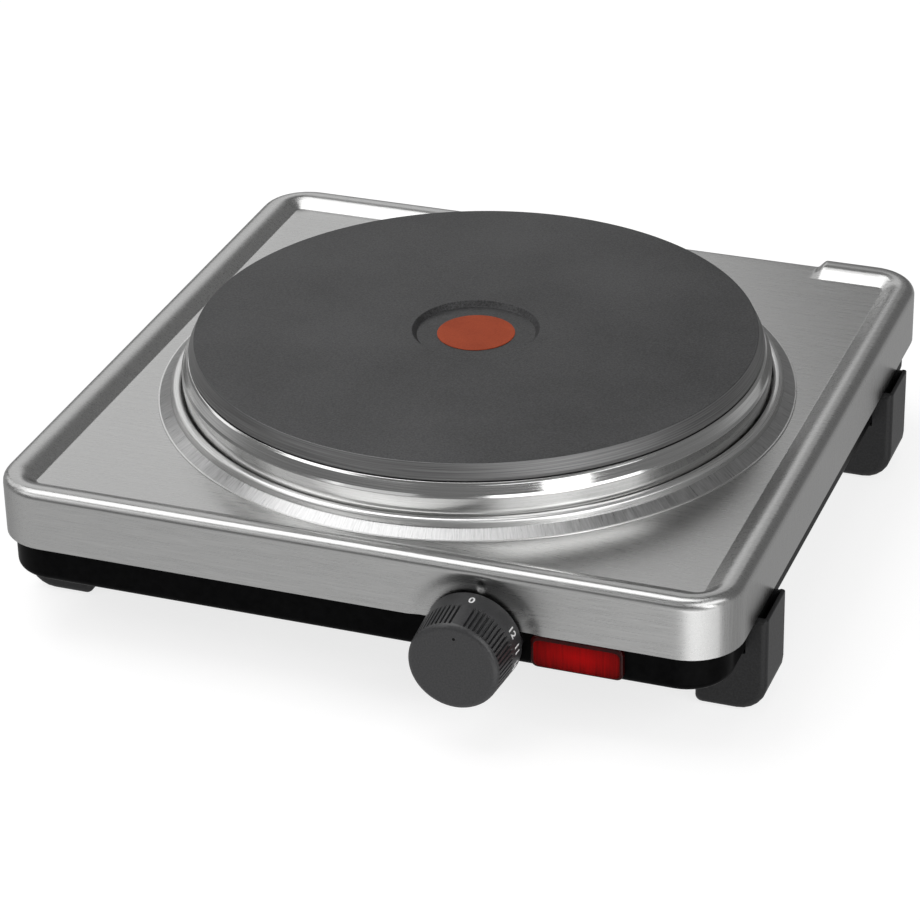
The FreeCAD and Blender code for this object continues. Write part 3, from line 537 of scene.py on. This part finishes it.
def plan_stations():
    """Stations once round the casing: (side, share of the side) or (corner, share of the turn)."""
    coarse, dish_step, gap_step, mark_step = 4 * MM, 1.2 * MM, 0.6 * MM, 0.4 * MM
    mark_x = KNOB.x + MARK_SHIFT
    dish_left = (KNOB.x - DISH_SPAN, mark_x - MARK_SPAN, dish_step)
    mark = (mark_x - MARK_SPAN, mark_x + MARK_SPAN, mark_step)
    dish_right = (mark_x + MARK_SPAN, KNOB.x + DISH_SPAN, dish_step)
    left_end = (GAP_LEFT - GAP_END_SPAN, GAP_LEFT + GAP_END_SPAN, gap_step)
    right_end = (GAP_RIGHT - GAP_END_SPAN, GAP_RIGHT + GAP_END_SPAN, gap_step)
    low_x, high_x = CASING_LOW.x + CASING_CORNER, CASING_HIGH.x - CASING_CORNER
    low_y, high_y = CASING_LOW.y + CASING_CORNER, CASING_HIGH.y - CASING_CORNER
    front = side_steps(low_x, high_x, coarse, [dish_left, mark, dish_right])
    right = side_steps(low_y, high_y, coarse, [])
    rear = side_steps(low_x, high_x, coarse, [left_end, right_end])[::-1]
    left = side_steps(low_y, high_y, coarse, [])[::-1]
    stations = []
    for side, spots in enumerate((front, right, rear, left)):
        stations += [("side", side, spot) for spot in spots]
        stations += [("corner", side, k / CORNER_STEPS) for k in range(1, CORNER_STEPS)]
    return stations


def plan_point(station, offset):
    """Point on the rounded rectangle that lies offset inside the casing's outer outline."""
    kind, side, value = station
    share = offset / RIM_WIDTH
    radius = CASING_CORNER + (RECESS_CORNER - CASING_CORNER) * share
    low_x, high_x = CASING_LOW.x + offset, CASING_HIGH.x - offset
    low_y, high_y = CASING_LOW.y + offset, CASING_HIGH.y - offset
    if kind == "side":
        if side in (0, 2):
            span = (CASING_LOW.x + CASING_CORNER, CASING_HIGH.x - CASING_CORNER)
            inner = (low_x + radius, high_x - radius)
        else:
            span = (CASING_LOW.y + CASING_CORNER, CASING_HIGH.y - CASING_CORNER)
            inner = (low_y + radius, high_y - radius)
        stretch = end_stretch(value, span, inner)
        return [(stretch, low_y), (high_x, stretch), (stretch, high_y), (low_x, stretch)][side]
    middles = [(high_x - radius, low_y + radius), (high_x - radius, high_y - radius),
               (low_x + radius, high_y - radius), (low_x + radius, low_y + radius)]
    angle = math.radians(-90 + 90 * side + 90 * value)
    middle = middles[side]
    return middle[0] + radius * math.cos(angle), middle[1] + radius * math.sin(angle)


def end_stretch(value, span, inner):
    """Keep stations straight across the rim, except near the corners, where they fan out."""
    fan = 24 * MM
    low_shift = (inner[0] - span[0]) * (1 - smoothstep(span[0], span[0] + fan, value))
    high_shift = (inner[1] - span[1]) * smoothstep(span[1] - fan, span[1], value)
    return value + low_shift + high_shift


def rim_section():
    """Rim from skirt to recess floor: offset inwards and height where raised, then the same where flat."""
    steps = 7
    raised = rounded([(0, -8, 0), (0, 3.7, 0), (7.6, 3.7, 0), (13.7, 0, 0), (14.6, 0, 0)],
                     [0, 5.0, 9.0, 0.9, 0], steps)[1:-1]
    flat = rounded([(0, -8, 0), (0, 0, 0), (7.6, 0, 0), (13.7, 0, 0), (14.6, 0, 0)],
                   [0, 3.0, 0.8, 0.3, 0], steps)[1:-1]
    return [(a.x * MM, a.y * MM, b.x * MM, b.y * MM) for a, b in zip(raised, flat)]


def gap_share(station):
    """One where the rim is flattened at the rear, zero elsewhere."""
    kind, side, value = station
    if kind != "side" or side != 2:
        return 0.0
    into_left = smoothstep(GAP_LEFT - GAP_BLEND / 2, GAP_LEFT + GAP_BLEND / 2, value)
    into_right = 1 - smoothstep(GAP_RIGHT - GAP_BLEND / 2, GAP_RIGHT + GAP_BLEND / 2, value)
    return into_left * into_right


def dish_push(x, z):
    """How far the front of the skirt is pressed in round the knob, with the index mark pressed deeper."""
    reach = math.hypot(x - KNOB.x, z - KNOB.z)
    push = DISH_DEPTH * (1 - smoothstep(DISH_RADIUS - DISH_BLEND, DISH_RADIUS, reach))
    mark_x = (x - KNOB.x - MARK_SHIFT) / MARK_HALF_WIDTH
    mark_z = (z - DECK + MARK_DROP) / MARK_HALF_HEIGHT
    return push + MARK_DEPTH * (1 - smoothstep(0.15, 1.0, math.hypot(mark_x, mark_z)))


def collar_section():
    """Collar from the deck inwards: crisp foot, scratched slope, satin bead and the seal's ledge."""
    points = [(122.6, 0.0), (122.5, 0.4), (121.9, 0.42), (117.5, 2.9), (117.1, 5.95), (113.4, 5.95),
              (113.4, LEDGE), (107.5, LEDGE)]
    radii = [0, 0.1, 0.1, 0.5, 1.9, 1.4, 0.3, 0]
    line = rounded([(r, z, 0) for r, z in points], radii, 6)
    return [(p.x * MM, p.y * MM) for p in line]


def casing_loops(stations):
    """Loops up the skirt and over the rim to the recess floor, with the dish pressed into the front."""
    section = rim_section()
    _, raised_top, _, flat_top = section[0]
    loops = []
    for row in range(SKIRT_ROWS):
        loop = []
        for station in stations:
            skirt_top = between(raised_top, flat_top, gap_share(station))
            height = DECK - SKIRT_DEPTH + (SKIRT_DEPTH + skirt_top) * row / SKIRT_ROWS
            loop.append(Vector((*plan_point(station, 0.0), height)))
        loops.append(loop)
    for raised_offset, raised_height, flat_offset, flat_height in section:
        loop = []
        for station in stations:
            share = gap_share(station)
            offset = between(raised_offset, flat_offset, share)
            height = between(raised_height, flat_height, share)
            loop.append(Vector((*plan_point(station, offset), DECK + height)))
        loops.append(loop)
    for loop in loops:
        for spot in loop:
            if spot.y < CASING_LOW.y + FRONT_REACH and abs(spot.x - KNOB.x) < DISH_SPAN:
                spot.y += dish_push(spot.x, spot.z)
    return loops


def make_casing(materials):
    """The pressing as one sheet: skirt, rim, deck and collar, then given its thickness inwards."""
    stations = plan_stations()
    loops = casing_loops(stations)
    deck_ring = len(loops)
    angles = [math.atan2(p.y - CENTRE.y, p.x - CENTRE.x) for p in loops[-1]]
    for radius, height in collar_section():
        loop = []
        for angle in angles:
            x, y = CENTRE.x + radius * math.cos(angle), CENTRE.y + radius * math.sin(angle)
            loop.append(Vector((x, y, DECK + height)))
        loops.append(loop)
    mesh = mesh_from("top_casing_sheet", [v for loop in loops for v in loop], skin(loops))
    piece = add_piece("top_casing_sheet", mesh, "root", ["top_casing"], materials)
    brushed, scratched, satin = range(3)
    for polygon in mesh.polygons:
        if polygon.index // len(stations) < deck_ring:
            polygon.material_index = brushed
        else:
            on_collar = BEAD_FOOT < reach_from_centre(polygon) < COLLAR_EDGE
            polygon.material_index = scratched if on_collar else satin
    solid = piece.modifiers.new("Sheet", "SOLIDIFY")
    solid.thickness = WALL
    solid.offset = -1
    even_normals(piece, 30)
    return piece


# ---------------------------------------------------------------- plate, ring and marker

def turned_outline(points, radii, base=0.0):
    """Outline for the lathe from (radius, height) points in millimetres, with rounded corners."""
    line = rounded([(radius, height, 0) for radius, height in points], radii, 4)
    return [(p.x * MM, base + p.y * MM) for p in line]


def make_plate(materials):
    """Plate outline from its grooved underside, over the turned edge and top to the centre well."""
    low = PLATE_LOW.z / MM
    top = PLATE_TOP / MM
    deck = DECK / MM
    roof = deck + 16.5
    bore, boss, rib, groove, outer_rib = 4.05, 12.0, 4.0, 16.0, 101.0
    under = [(0.0, deck + 19.1), (bore, deck + 19.1), (bore, low), (boss, low), (boss, roof), (41.0, roof)]
    for inner in (45.0, 65.0, 85.0):
        under += [(inner - rib, low), (inner, low), (inner, roof), (inner + groove, roof)]
    under.append((outer_rib, low))
    over = [(106.5, low), (106.5, deck + 17.6), (109.7, deck + 17.6), (110.0, deck + 18.0),
            (110.0, deck + 19.1), (107.75, top), (24.4, top), (22.7, top - 2.0), (0.0, top - 2.0)]
    radii = [0] * len(under) + [0.5, 0.2, 0.2, 0.2, 0.35, 0.45, 0.5, 0.4, 0]
    mesh = lathe("hot_plate_casting", turned_outline(under + over, radii), closed=False)
    piece = add_piece("hot_plate_casting", mesh, "root", ["hot_plate"], materials)
    edge_start = 107.6 * MM
    blasted, turned = range(2)
    for polygon in mesh.polygons:
        on_edge = reach_from_centre(polygon) > edge_start and polygon.center.z < PLATE_TOP - 0.1 * MM
        polygon.material_index = turned if on_edge else blasted
    return even_normals(piece, 40)


def make_marker(materials):
    """Disc of red enamel in the plate's centre well, with its top edge broken."""
    low, high = MARKER_LOW.z, MARKER_HIGH.z
    radius = (MARKER_HIGH.x - MARKER_LOW.x) / 2
    outline = [(0, low), (radius, low), (radius, high - 0.1 * MM), (radius - 0.25 * MM, high), (0, high)]
    mesh = lathe("red_marker_disc", outline, steps=128, closed=False)
    piece = add_piece("red_marker_disc", mesh, "root", ["red_marker"], materials)
    return even_normals(piece)


def make_ring(materials):
    """Spill ring: foot, upright band, crease, sloping shoulder and rolled lip under the plate."""
    points = [(112.9, 4.0), (112.9, 12.2), (112.3, 13.2), (110.9, 16.6), (110.2, 17.35), (106.8, 17.35),
              (106.8, 16.75), (110.0, 16.75), (112.2, 12.4), (112.3, 4.0)]
    radii = [0, 0.5, 0.5, 0.6, 0.5, 0, 0, 0.3, 0.4, 0]
    mesh = lathe("spill_ring_sheet", turned_outline(points, radii, DECK))
    piece = add_piece("spill_ring_sheet", mesh, "root", ["spill_ring"], materials)
    return even_normals(piece)


# ---------------------------------------------------------------- tray and feet

FOOT_WING = 139 * MM
FOOT_EDGE = 2.4 * MM
POCKET_WALL = 1.4 * MM
POCKET_INSET = 2.7 * MM
END_STEPS = 4


def foot_section(low, high, pocket_height):
    """Outline of a right foot in X and Z, open at its top down to a height inside the wing."""
    outer = max(abs(low.x), abs(high.x))
    inner = min(abs(low.x), abs(high.x))
    shelf = TRAY_LOW.z
    pocket_outer = outer - POCKET_WALL
    pocket_inner = FOOT_WING + POCKET_WALL
    corners = [(inner, low.z, 2.5), (outer, low.z, 11), (outer, high.z, 0.9), (pocket_outer, high.z, 0.3),
               (pocket_outer, pocket_height, 0), (pocket_inner, pocket_height, 0),
               (pocket_inner, high.z, 0.2), (FOOT_WING, high.z, 0.2), (FOOT_WING, shelf, 0.6),
               (inner, shelf, 0)]
    line = []
    for i, (x, z, radius) in enumerate(corners):
        before, after = corners[i - 1], corners[(i + 1) % len(corners)]
        if radius:
            bend = rounded([(before[0], before[1], 0), (x, z, 0), (after[0], after[1], 0)],
                           [0, radius * MM, 0], 6)[1:-1]
            line += [(p.x, p.y) for p in bend]
        else:
            line.append((x, z))
    return line


def make_foot(name, material):
    """L-shaped foot: block below the tray, and beside it a wing that is open at its top."""
    low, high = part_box(name)
    side = 1 if low.x > 0 else -1
    full = foot_section(low, high, high.z - 0.35 * MM)
    notched = foot_section(low, high, TRAY_LOW.z + 1.5 * MM)

    def rounded_end(y, way):
        """Loops from an end face at y to the full section, round a quarter turn, along way."""
        loops = []
        for step in range(END_STEPS + 1):
            angle = math.radians(90 * step / END_STEPS)
            inset = FOOT_EDGE * (1 - math.sin(angle))
            depth = y + way * FOOT_EDGE * (1 - math.cos(angle))
            loops.append(shrink_loop(full, depth, inset, side))
        return loops

    pocket_front = low.y + POCKET_INSET
    pocket_back = high.y - POCKET_INSET
    loops = rounded_end(low.y, 1)
    pocket = ((pocket_front, full), (pocket_front, notched), (pocket_back, notched), (pocket_back, full))
    for y, line in pocket:
        loops.append([Vector((x * side, y, z)) for x, z in line])
    loops += rounded_end(high.y, -1)[::-1]
    count = len(full)
    faces = skin(loops)
    last = (len(loops) - 1) * count
    faces.append(tuple(range(count)))
    faces.append(tuple(last + k for k in reversed(range(count))))
    mesh = mesh_from(name + "_moulding", [v for loop in loops for v in loop], faces)
    weld(mesh)
    turn_outwards(mesh)
    return even_normals(add_piece(name + "_moulding", mesh, "root", [name], [material]), 50)


def shrink_loop(line, y, inset, side):
    """The section at a depth y, drawn in from its outer and lower faces to round the end's edges."""
    outer = max(x for x, z in line)
    inner = min(x for x, z in line)
    low = min(z for x, z in line)
    high = max(z for x, z in line)
    loop = []
    for x, z in line:
        share_x = (x - inner) / (outer - inner)
        near_x = x - inset * (2 * share_x - 1)
        share_z = (z - low) / (high - low)
        near_z = z + inset * (1 - 1.8 * share_z)
        loop.append(Vector((near_x * side, y, near_z)))
    return loop


# ---------------------------------------------------------------- knob

GROOVES = 60
STEPS_PER_GROOVE = 14
GROOVE_DEPTH = 0.95 * MM
GROOVE_START = (0.085, 0.115)
GROOVE_END = (0.60, 0.63)
ZERO_TURN = math.radians(4.5)
KNOB_FACE = KNOB_LOW.y + 0.12 * MM
KNOB_BACK = KNOB_HIGH.y
KNOB_RADIUS = (KNOB_HIGH.x - KNOB_LOW.x) / 2
KNOB_TAPER = 1.34 * MM
DIGIT_ROW = KNOB_BACK - 4.5 * MM
DIGIT_SIZE = 4.5 * MM
CUT_SPACING = 0.3 * MM
FIRST_NUMBER_TURN = 60
LAST_NUMBER_TURN = 300


def knob_radius(y):
    """Radius of the knob's skirt at a depth y."""
    return KNOB_RADIUS - KNOB_TAPER * (KNOB_BACK - y) / (KNOB_BACK - KNOB_FACE)


def groove_depth(angle, share):
    """Depth of the fluting, none at the zero; share is 0 at the knob's face and 1 at its back."""
    from_zero = (angle - ZERO_TURN + math.pi) % (2 * math.pi) - math.pi
    pitch = 2 * math.pi / GROOVES
    if abs(from_zero) < pitch * 0.95:
        return 0.0
    phase = abs((from_zero / pitch) % 1.0 - 0.5) * 2
    across = 1 - smoothstep(0.24, 0.50, phase)
    along = smoothstep(*GROOVE_START, share) * (1 - smoothstep(*GROOVE_END, share))
    return GROOVE_DEPTH * across * along


def make_knob(material):
    """Tapered cup with a rounded face edge, fluted over the front of its skirt."""
    small = KNOB_RADIUS - KNOB_TAPER
    inside = KNOB_FACE + 3 * MM
    steps = GROOVES * STEPS_PER_GROOVE
    hub, bore = 5.5 * MM, 3.05 * MM
    points = [(0, KNOB_FACE), (small, KNOB_FACE), (KNOB_RADIUS, KNOB_BACK), (KNOB_RADIUS - 2 * MM, KNOB_BACK),
              (small - 2.2 * MM, inside), (hub, inside), (hub, KNOB_BACK), (bore, KNOB_BACK),
              (bore, inside + 1 * MM), (0, inside + 1 * MM)]
    radii = [0, 2.3 * MM, 0.35 * MM, 0.2 * MM, 0, 0, 0, 0, 0, 0]
    line = rounded([(r, y, 0) for r, y in points], radii, 6)
    outline = []
    for index, point in enumerate(line):
        outline.append((point.x, point.y))
        if index + 1 == len(line):
            continue
        after = line[index + 1]
        is_skirt = (after - point).length > 12 * MM and point.x > small - 0.5 * MM and after.y > point.y
        if is_skirt:
            rows = 40
            outline += [tuple(point.lerp(after, k / rows))[:2] for k in range(1, rows)]
    loops = []
    for radius, y in outline:
        share = (y - KNOB_FACE) / (KNOB_BACK - KNOB_FACE)
        on_skirt = radius > knob_radius(y) - 1.0 * MM
        loop = []
        for k in range(steps):
            angle = 2 * math.pi * k / steps
            reach = radius - (groove_depth(angle, share) if on_skirt else 0)
            loop.append(Vector((KNOB.x + reach * math.sin(angle), y, KNOB.z + reach * math.cos(angle))))
        loops.append(loop)
    mesh = mesh_from("control_knob_moulding", [v for loop in loops for v in loop], skin(loops))
    weld(mesh)
    turn_outwards(mesh)
    piece = add_piece("control_knob_moulding", mesh, "knob", ["control_knob"], [material])
    return even_normals(piece, 40)


def make_gate_mark(materials):
    """Small moulding pip on the knob's face, above its middle, with its shallow hollow painted near-black as
    shade.
    """
    turn = math.radians(3.6)
    reach = 11.7 * MM
    spot = Vector((KNOB.x + reach * math.sin(turn), 0, KNOB.z + reach * math.cos(turn)))
    top = KNOB_LOW.y
    hollow = 0.55 * MM
    rim, base = 0.95 * MM, top + 0.4 * MM
    floor = top + 0.11 * MM
    outline = [(0, floor), (hollow, floor), (0.68 * MM, top), (0.80 * MM, top + 0.01 * MM),
               (rim, top + 0.14 * MM), (rim, base), (0, base)]
    mesh = lathe("knob_gate_mark", outline, spot, 32, closed=False, axis="Y")
    piece = add_piece("knob_gate_mark", mesh, "knob", [], materials)
    # Faces inside the hollow take the second finish, near-black: painted shade standing for a deep pit.
    for polygon in mesh.polygons:
        middle = polygon.center
        if middle.y < KNOB_FACE and math.hypot(middle.x - spot.x, middle.z - spot.z) < hollow:
            polygon.material_index = 1
    return even_normals(piece, 60)


def number_mesh(text, angle):
    """Number bent round the knob's rear collar, centred at an angle, with its head towards the casing."""
    curve = bpy.data.curves.new("number", "FONT")
    curve.body = text
    curve.size = DIGIT_SIZE
    curve.align_x = "CENTER"
    curve.align_y = "CENTER"
    curve.offset = 0.09 * MM
    curve.extrude = 0.05 * MM
    curve.resolution_u = 6
    holder = bpy.data.objects.new("number", curve)
    mesh = bpy.data.meshes.new_from_object(holder)
    bpy.data.objects.remove(holder)
    tool = bmesh.new()
    tool.from_mesh(mesh)
    cuts = 12
    for k in range(-cuts, cuts + 1):
        geometry = tool.verts[:] + tool.edges[:] + tool.faces[:]
        place = (k * CUT_SPACING, 0, 0)
        bmesh.ops.bisect_plane(tool, geom=geometry, plane_co=place, plane_no=(1, 0, 0))
    for vertex in tool.verts:
        y = DIGIT_ROW + vertex.co.y
        turn = angle + vertex.co.x / KNOB_RADIUS
        reach = knob_radius(y) + vertex.co.z
        vertex.co = (KNOB.x + reach * math.sin(turn), y, KNOB.z + reach * math.cos(turn))
    tool.to_mesh(mesh)
    tool.free()
    return mesh


def make_numbers(material):
    """Dial print: 0 beside the index, then 12 down to 1 in even steps round the collar."""
    marks = [("0", 0)]
    step = (LAST_NUMBER_TURN - FIRST_NUMBER_TURN) / 11
    marks += [(str(12 - k), FIRST_NUMBER_TURN + step * k) for k in range(12)]
    whole = bmesh.new()
    for text, turn in marks:
        whole.from_mesh(number_mesh(text, ZERO_TURN + math.radians(turn)))
    mesh = bpy.data.meshes.new("dial_numbers")
    whole.to_mesh(mesh)
    whole.free()
    for polygon in mesh.polygons:
        polygon.use_smooth = False
    return add_piece("dial_numbers", mesh, "knob", [], [material])


# ---------------------------------------------------------------- lens

def make_lens(materials):
    """Lens cap with a clear rounded border round a window that is set back a little."""
    low, high = LENS_LOW, LENS_HIGH
    front = low.y
    back = TRAY_LOW.y + 0.3 * MM
    window = front + 0.35 * MM
    border = 1.2 * MM
    window_drop = 0.5 * MM
    corners = [(low.x, low.z, 0), (high.x, low.z, 0), (high.x, high.z, 0), (low.x, high.z, 0)]
    ring = rounded(corners, 2.5 * MM, 6, closed=True)
    centre = Vector(((low.x + high.x) / 2, (low.z + high.z) / 2, 0))
    half = Vector(((high.x - low.x) / 2, (high.z - low.z) / 2, 0))

    def shrunk(amount, y, lowered=0.0):
        """The outline at a depth y, drawn in by an amount at its middles and moved down."""
        loop = []
        for spot in ring:
            away = spot - centre
            x = centre.x + away.x * (1 - amount / half.x)
            z = centre.y + away.y * (1 - amount / half.y) - lowered
            loop.append(Vector((x, y, z)))
        return loop

    loops = [shrunk(0, back), shrunk(0, front + 0.7 * MM), shrunk(0.1 * MM, window),
             shrunk(0.3 * MM, front + 0.1 * MM), shrunk(0.6 * MM, front), shrunk(border, front, window_drop),
             shrunk(border + 0.25 * MM, window, window_drop), shrunk(border + 1.0 * MM, window, window_drop)]
    border_bands = 5
    faces = skin(loops)
    count = len(ring)
    last = (len(loops) - 1) * count
    faces.append(tuple(last + k for k in range(count)))
    faces.append(tuple(range(count - 1, -1, -1)))
    back_face = len(faces) - 1
    mesh = mesh_from("pilot_lens_cap", [v for loop in loops for v in loop], faces)
    turn_outwards(mesh)
    piece = add_piece("pilot_lens_cap", mesh, "root", ["pilot_lens"], materials)
    for polygon in mesh.polygons:
        if border_bands * count <= polygon.index < back_face:
            polygon.material_index = 1
    return even_normals(piece, 40)


# ---------------------------------------------------------------- stage, light and camera

def make_stage():
    """Pale floor that glows a little, so that it stays near white, and that no surface mirrors."""
    half = 6.0
    mesh = mesh_from("floor", [(-half, -half, 0), (half, -half, 0), (half, half, 0), (-half, half, 0)],
                     [(0, 1, 2, 3)], False)
    floor = bpy.data.objects.new("floor", mesh)
    bpy.context.scene.collection.objects.link(floor)
    made = Nodes("floor_pale", Roughness=0.9, Specular_IOR_Level=0.0, Base_Color=(0.32, 0.32, 0.32),
                 Emission_Color=(1, 1, 1), Emission_Strength=0.78)
    mesh.materials.append(made.material)
    floor.visible_glossy = False


def softbox(name, azimuth, elevation, width, height, strength):
    """Soft panel that faces the object. Azimuth 0 is the front and 90 the right, in degrees.

    Width and height are in metres, and strength is the panel's brightness, whatever its size.
    """
    reach = 2.0
    turn, rise = math.radians(azimuth), math.radians(elevation)
    way = Vector((math.sin(turn) * math.cos(rise), -math.cos(turn) * math.cos(rise), math.sin(rise)))
    light = bpy.data.lights.new(name, "AREA")
    light.shape = "RECTANGLE"
    light.size = width
    light.size_y = height
    light.energy = strength * math.pi * width * height
    lamp = bpy.data.objects.new(name, light)
    bpy.context.scene.collection.objects.link(lamp)
    lamp.location = way * reach
    lamp.rotation_mode = "QUATERNION"
    lamp.rotation_quaternion = (-way).to_track_quat("-Z", "Y")
    return lamp


def make_world():
    """Grey surroundings, dim above and brighter below, most of all at the front, for metal to mirror."""
    world = bpy.data.worlds.new("studio")
    bpy.context.scene.world = world
    world.use_nodes = True
    tree = world.node_tree
    back = tree.nodes["Background"]
    back.inputs["Color"].default_value = (1, 1, 1, 1)
    way = tree.nodes.new("ShaderNodeSeparateXYZ")
    tree.links.new(tree.nodes.new("ShaderNodeTexCoord").outputs["Generated"], way.inputs[0])
    _, rearward, upward = way.outputs

    def level(source, low, high, **strengths):
        """Strength that changes from low to high in a direction's share of one axis."""
        made = tree.nodes.new("ShaderNodeMapRange")
        made.inputs["From Min"].default_value = low
        made.inputs["From Max"].default_value = high
        for end, strength in strengths.items():
            made.inputs[end.replace("_", " ")].default_value = strength
        tree.links.new(source, made.inputs["Value"])
        return made

    below = level(rearward, -0.4, 0.3, To_Min=0.66, To_Max=0.42)
    whole = level(upward, -0.08, 0.04, To_Max=0.2)
    tree.links.new(below.outputs[0], whole.inputs["To Min"])
    tree.links.new(whole.outputs[0], back.inputs["Strength"])


def make_light():
    """Soft studio light, and one panel below the floor that is only seen mirrored in the object."""
    bpy.context.scene.view_settings.view_transform = "Standard"
    make_world()
    softbox("right_front", 55, 36, 1.9, 0.9, 2.3)
    softbox("right_low", 52, 9, 0.55, 0.55, 5.0)
    softbox("left_top", 262, 66, 1.8, 1.1, 2.4)
    softbox("left_front", 312, 38, 1.0, 0.8, 1.7)
    softbox("top", 0, 89, 0.9, 0.8, 2.0)
    softbox("rear_left", 213, 30, 1.4, 0.8, 0.85)
    softbox("left", 258, 28, 1.0, 0.6, 1.2)
    softbox("front", 342, 27, 0.9, 0.5, 0.6)
    softbox("floor_glow", 37, -24, 2.4, 0.6, 1.5)


def make_camera():
    """Camera at the reference view: turned right of the front and raised, with a slight roll."""
    azimuth, elevation, roll = math.radians(20.78), math.radians(28.57), math.radians(-1.31)
    distance = 1.29647
    focal_length = 137.27
    target = Vector((0.01496, CENTRE.y - 0.05977, DECK))
    back = Vector((math.sin(azimuth) * math.cos(elevation), -math.cos(azimuth) * math.cos(elevation),
                   math.sin(elevation)))
    level = Vector((math.cos(azimuth), math.sin(azimuth), 0))
    upright = back.cross(level)
    right = level * math.cos(roll) + upright * math.sin(roll)
    up = upright * math.cos(roll) - level * math.sin(roll)
    data = bpy.data.cameras.new("camera")
    data.sensor_width = 36
    data.lens = focal_length
    data.clip_start = 0.05
    camera = bpy.data.objects.new("camera", data)
    bpy.context.scene.collection.objects.link(camera)
    turn = Matrix((right, up, back)).transposed().to_4x4()
    camera.matrix_world = Matrix.Translation(target + back * distance) @ turn
    bpy.context.scene.camera = camera


# ---------------------------------------------------------------- finishes of the CAD nodes

def finish_nodes():
    """A material for every CAD node, by its slot in the record; gives back the materials by slot."""
    record = frame["record"]
    slots = {part["node"]: part["material_slot"] for part in record["subparts"]}
    looks = {entry["slot"]: entry for entry in record["materials"]}
    metals = ("brushed_steel", "chrome", "aluminium", "brass", "cast_iron")
    foot_black = moulded_plastic("foot_black", (0.014, 0.014, 0.0145), (0.024, 0.024, 0.025), 0.38, 0.22)
    made = {"pan_paint": satin_paint(), "foot_plastic": foot_black}
    for node, item in frame["nodes"].items():
        name = slots[node]
        if name not in made:
            look = looks[name]
            metallic = 1.0 if look["class"] in metals else 0.0
            rough = 0.35 if metallic else 0.6
            made[name] = plain("inner_" + name, tuple(look["base_color"][:3]), rough, metallic)
        item.data.materials.clear()
        item.data.materials.append(made[name])
        for polygon in item.data.polygons:
            polygon.material_index = 0
    return made


def main():
    """Finish the CAD nodes, make the pieces that stand for some of them, and set the stage."""
    looks = finish_nodes()
    make_casing([brushed_steel(), radial_steel(), polished_steel("bead_satin", 0.26, 0.36)])
    make_plate([plate_iron(), plate_edge()])
    make_marker([red_enamel()])
    make_ring([polished_steel("ring_polished", 0.10, 0.18)])
    for node in ("foot_front_left", "foot_front_right", "foot_rear_left", "foot_rear_right"):
        make_foot(node, looks["foot_plastic"])
    knob_finish = moulded_plastic("knob_dark_grey", (0.025, 0.025, 0.026), (0.041, 0.041, 0.043), 0.38)
    # Near-black finish for the pip's hollow: painted shade, not the plastic's own colour.
    pip_hollow_painted_shade = moulded_plastic("gate_hollow_painted_shade", (0.003, 0.003, 0.003), (0.006, 0.006, 0.006), 0.6, 0.1)
    make_knob(knob_finish)
    make_gate_mark([knob_finish, pip_hollow_painted_shade])
    make_numbers(white_print())
    make_lens([lens_frame(), red_lens()])
    make_stage()
    make_light()
    make_camera()


main()
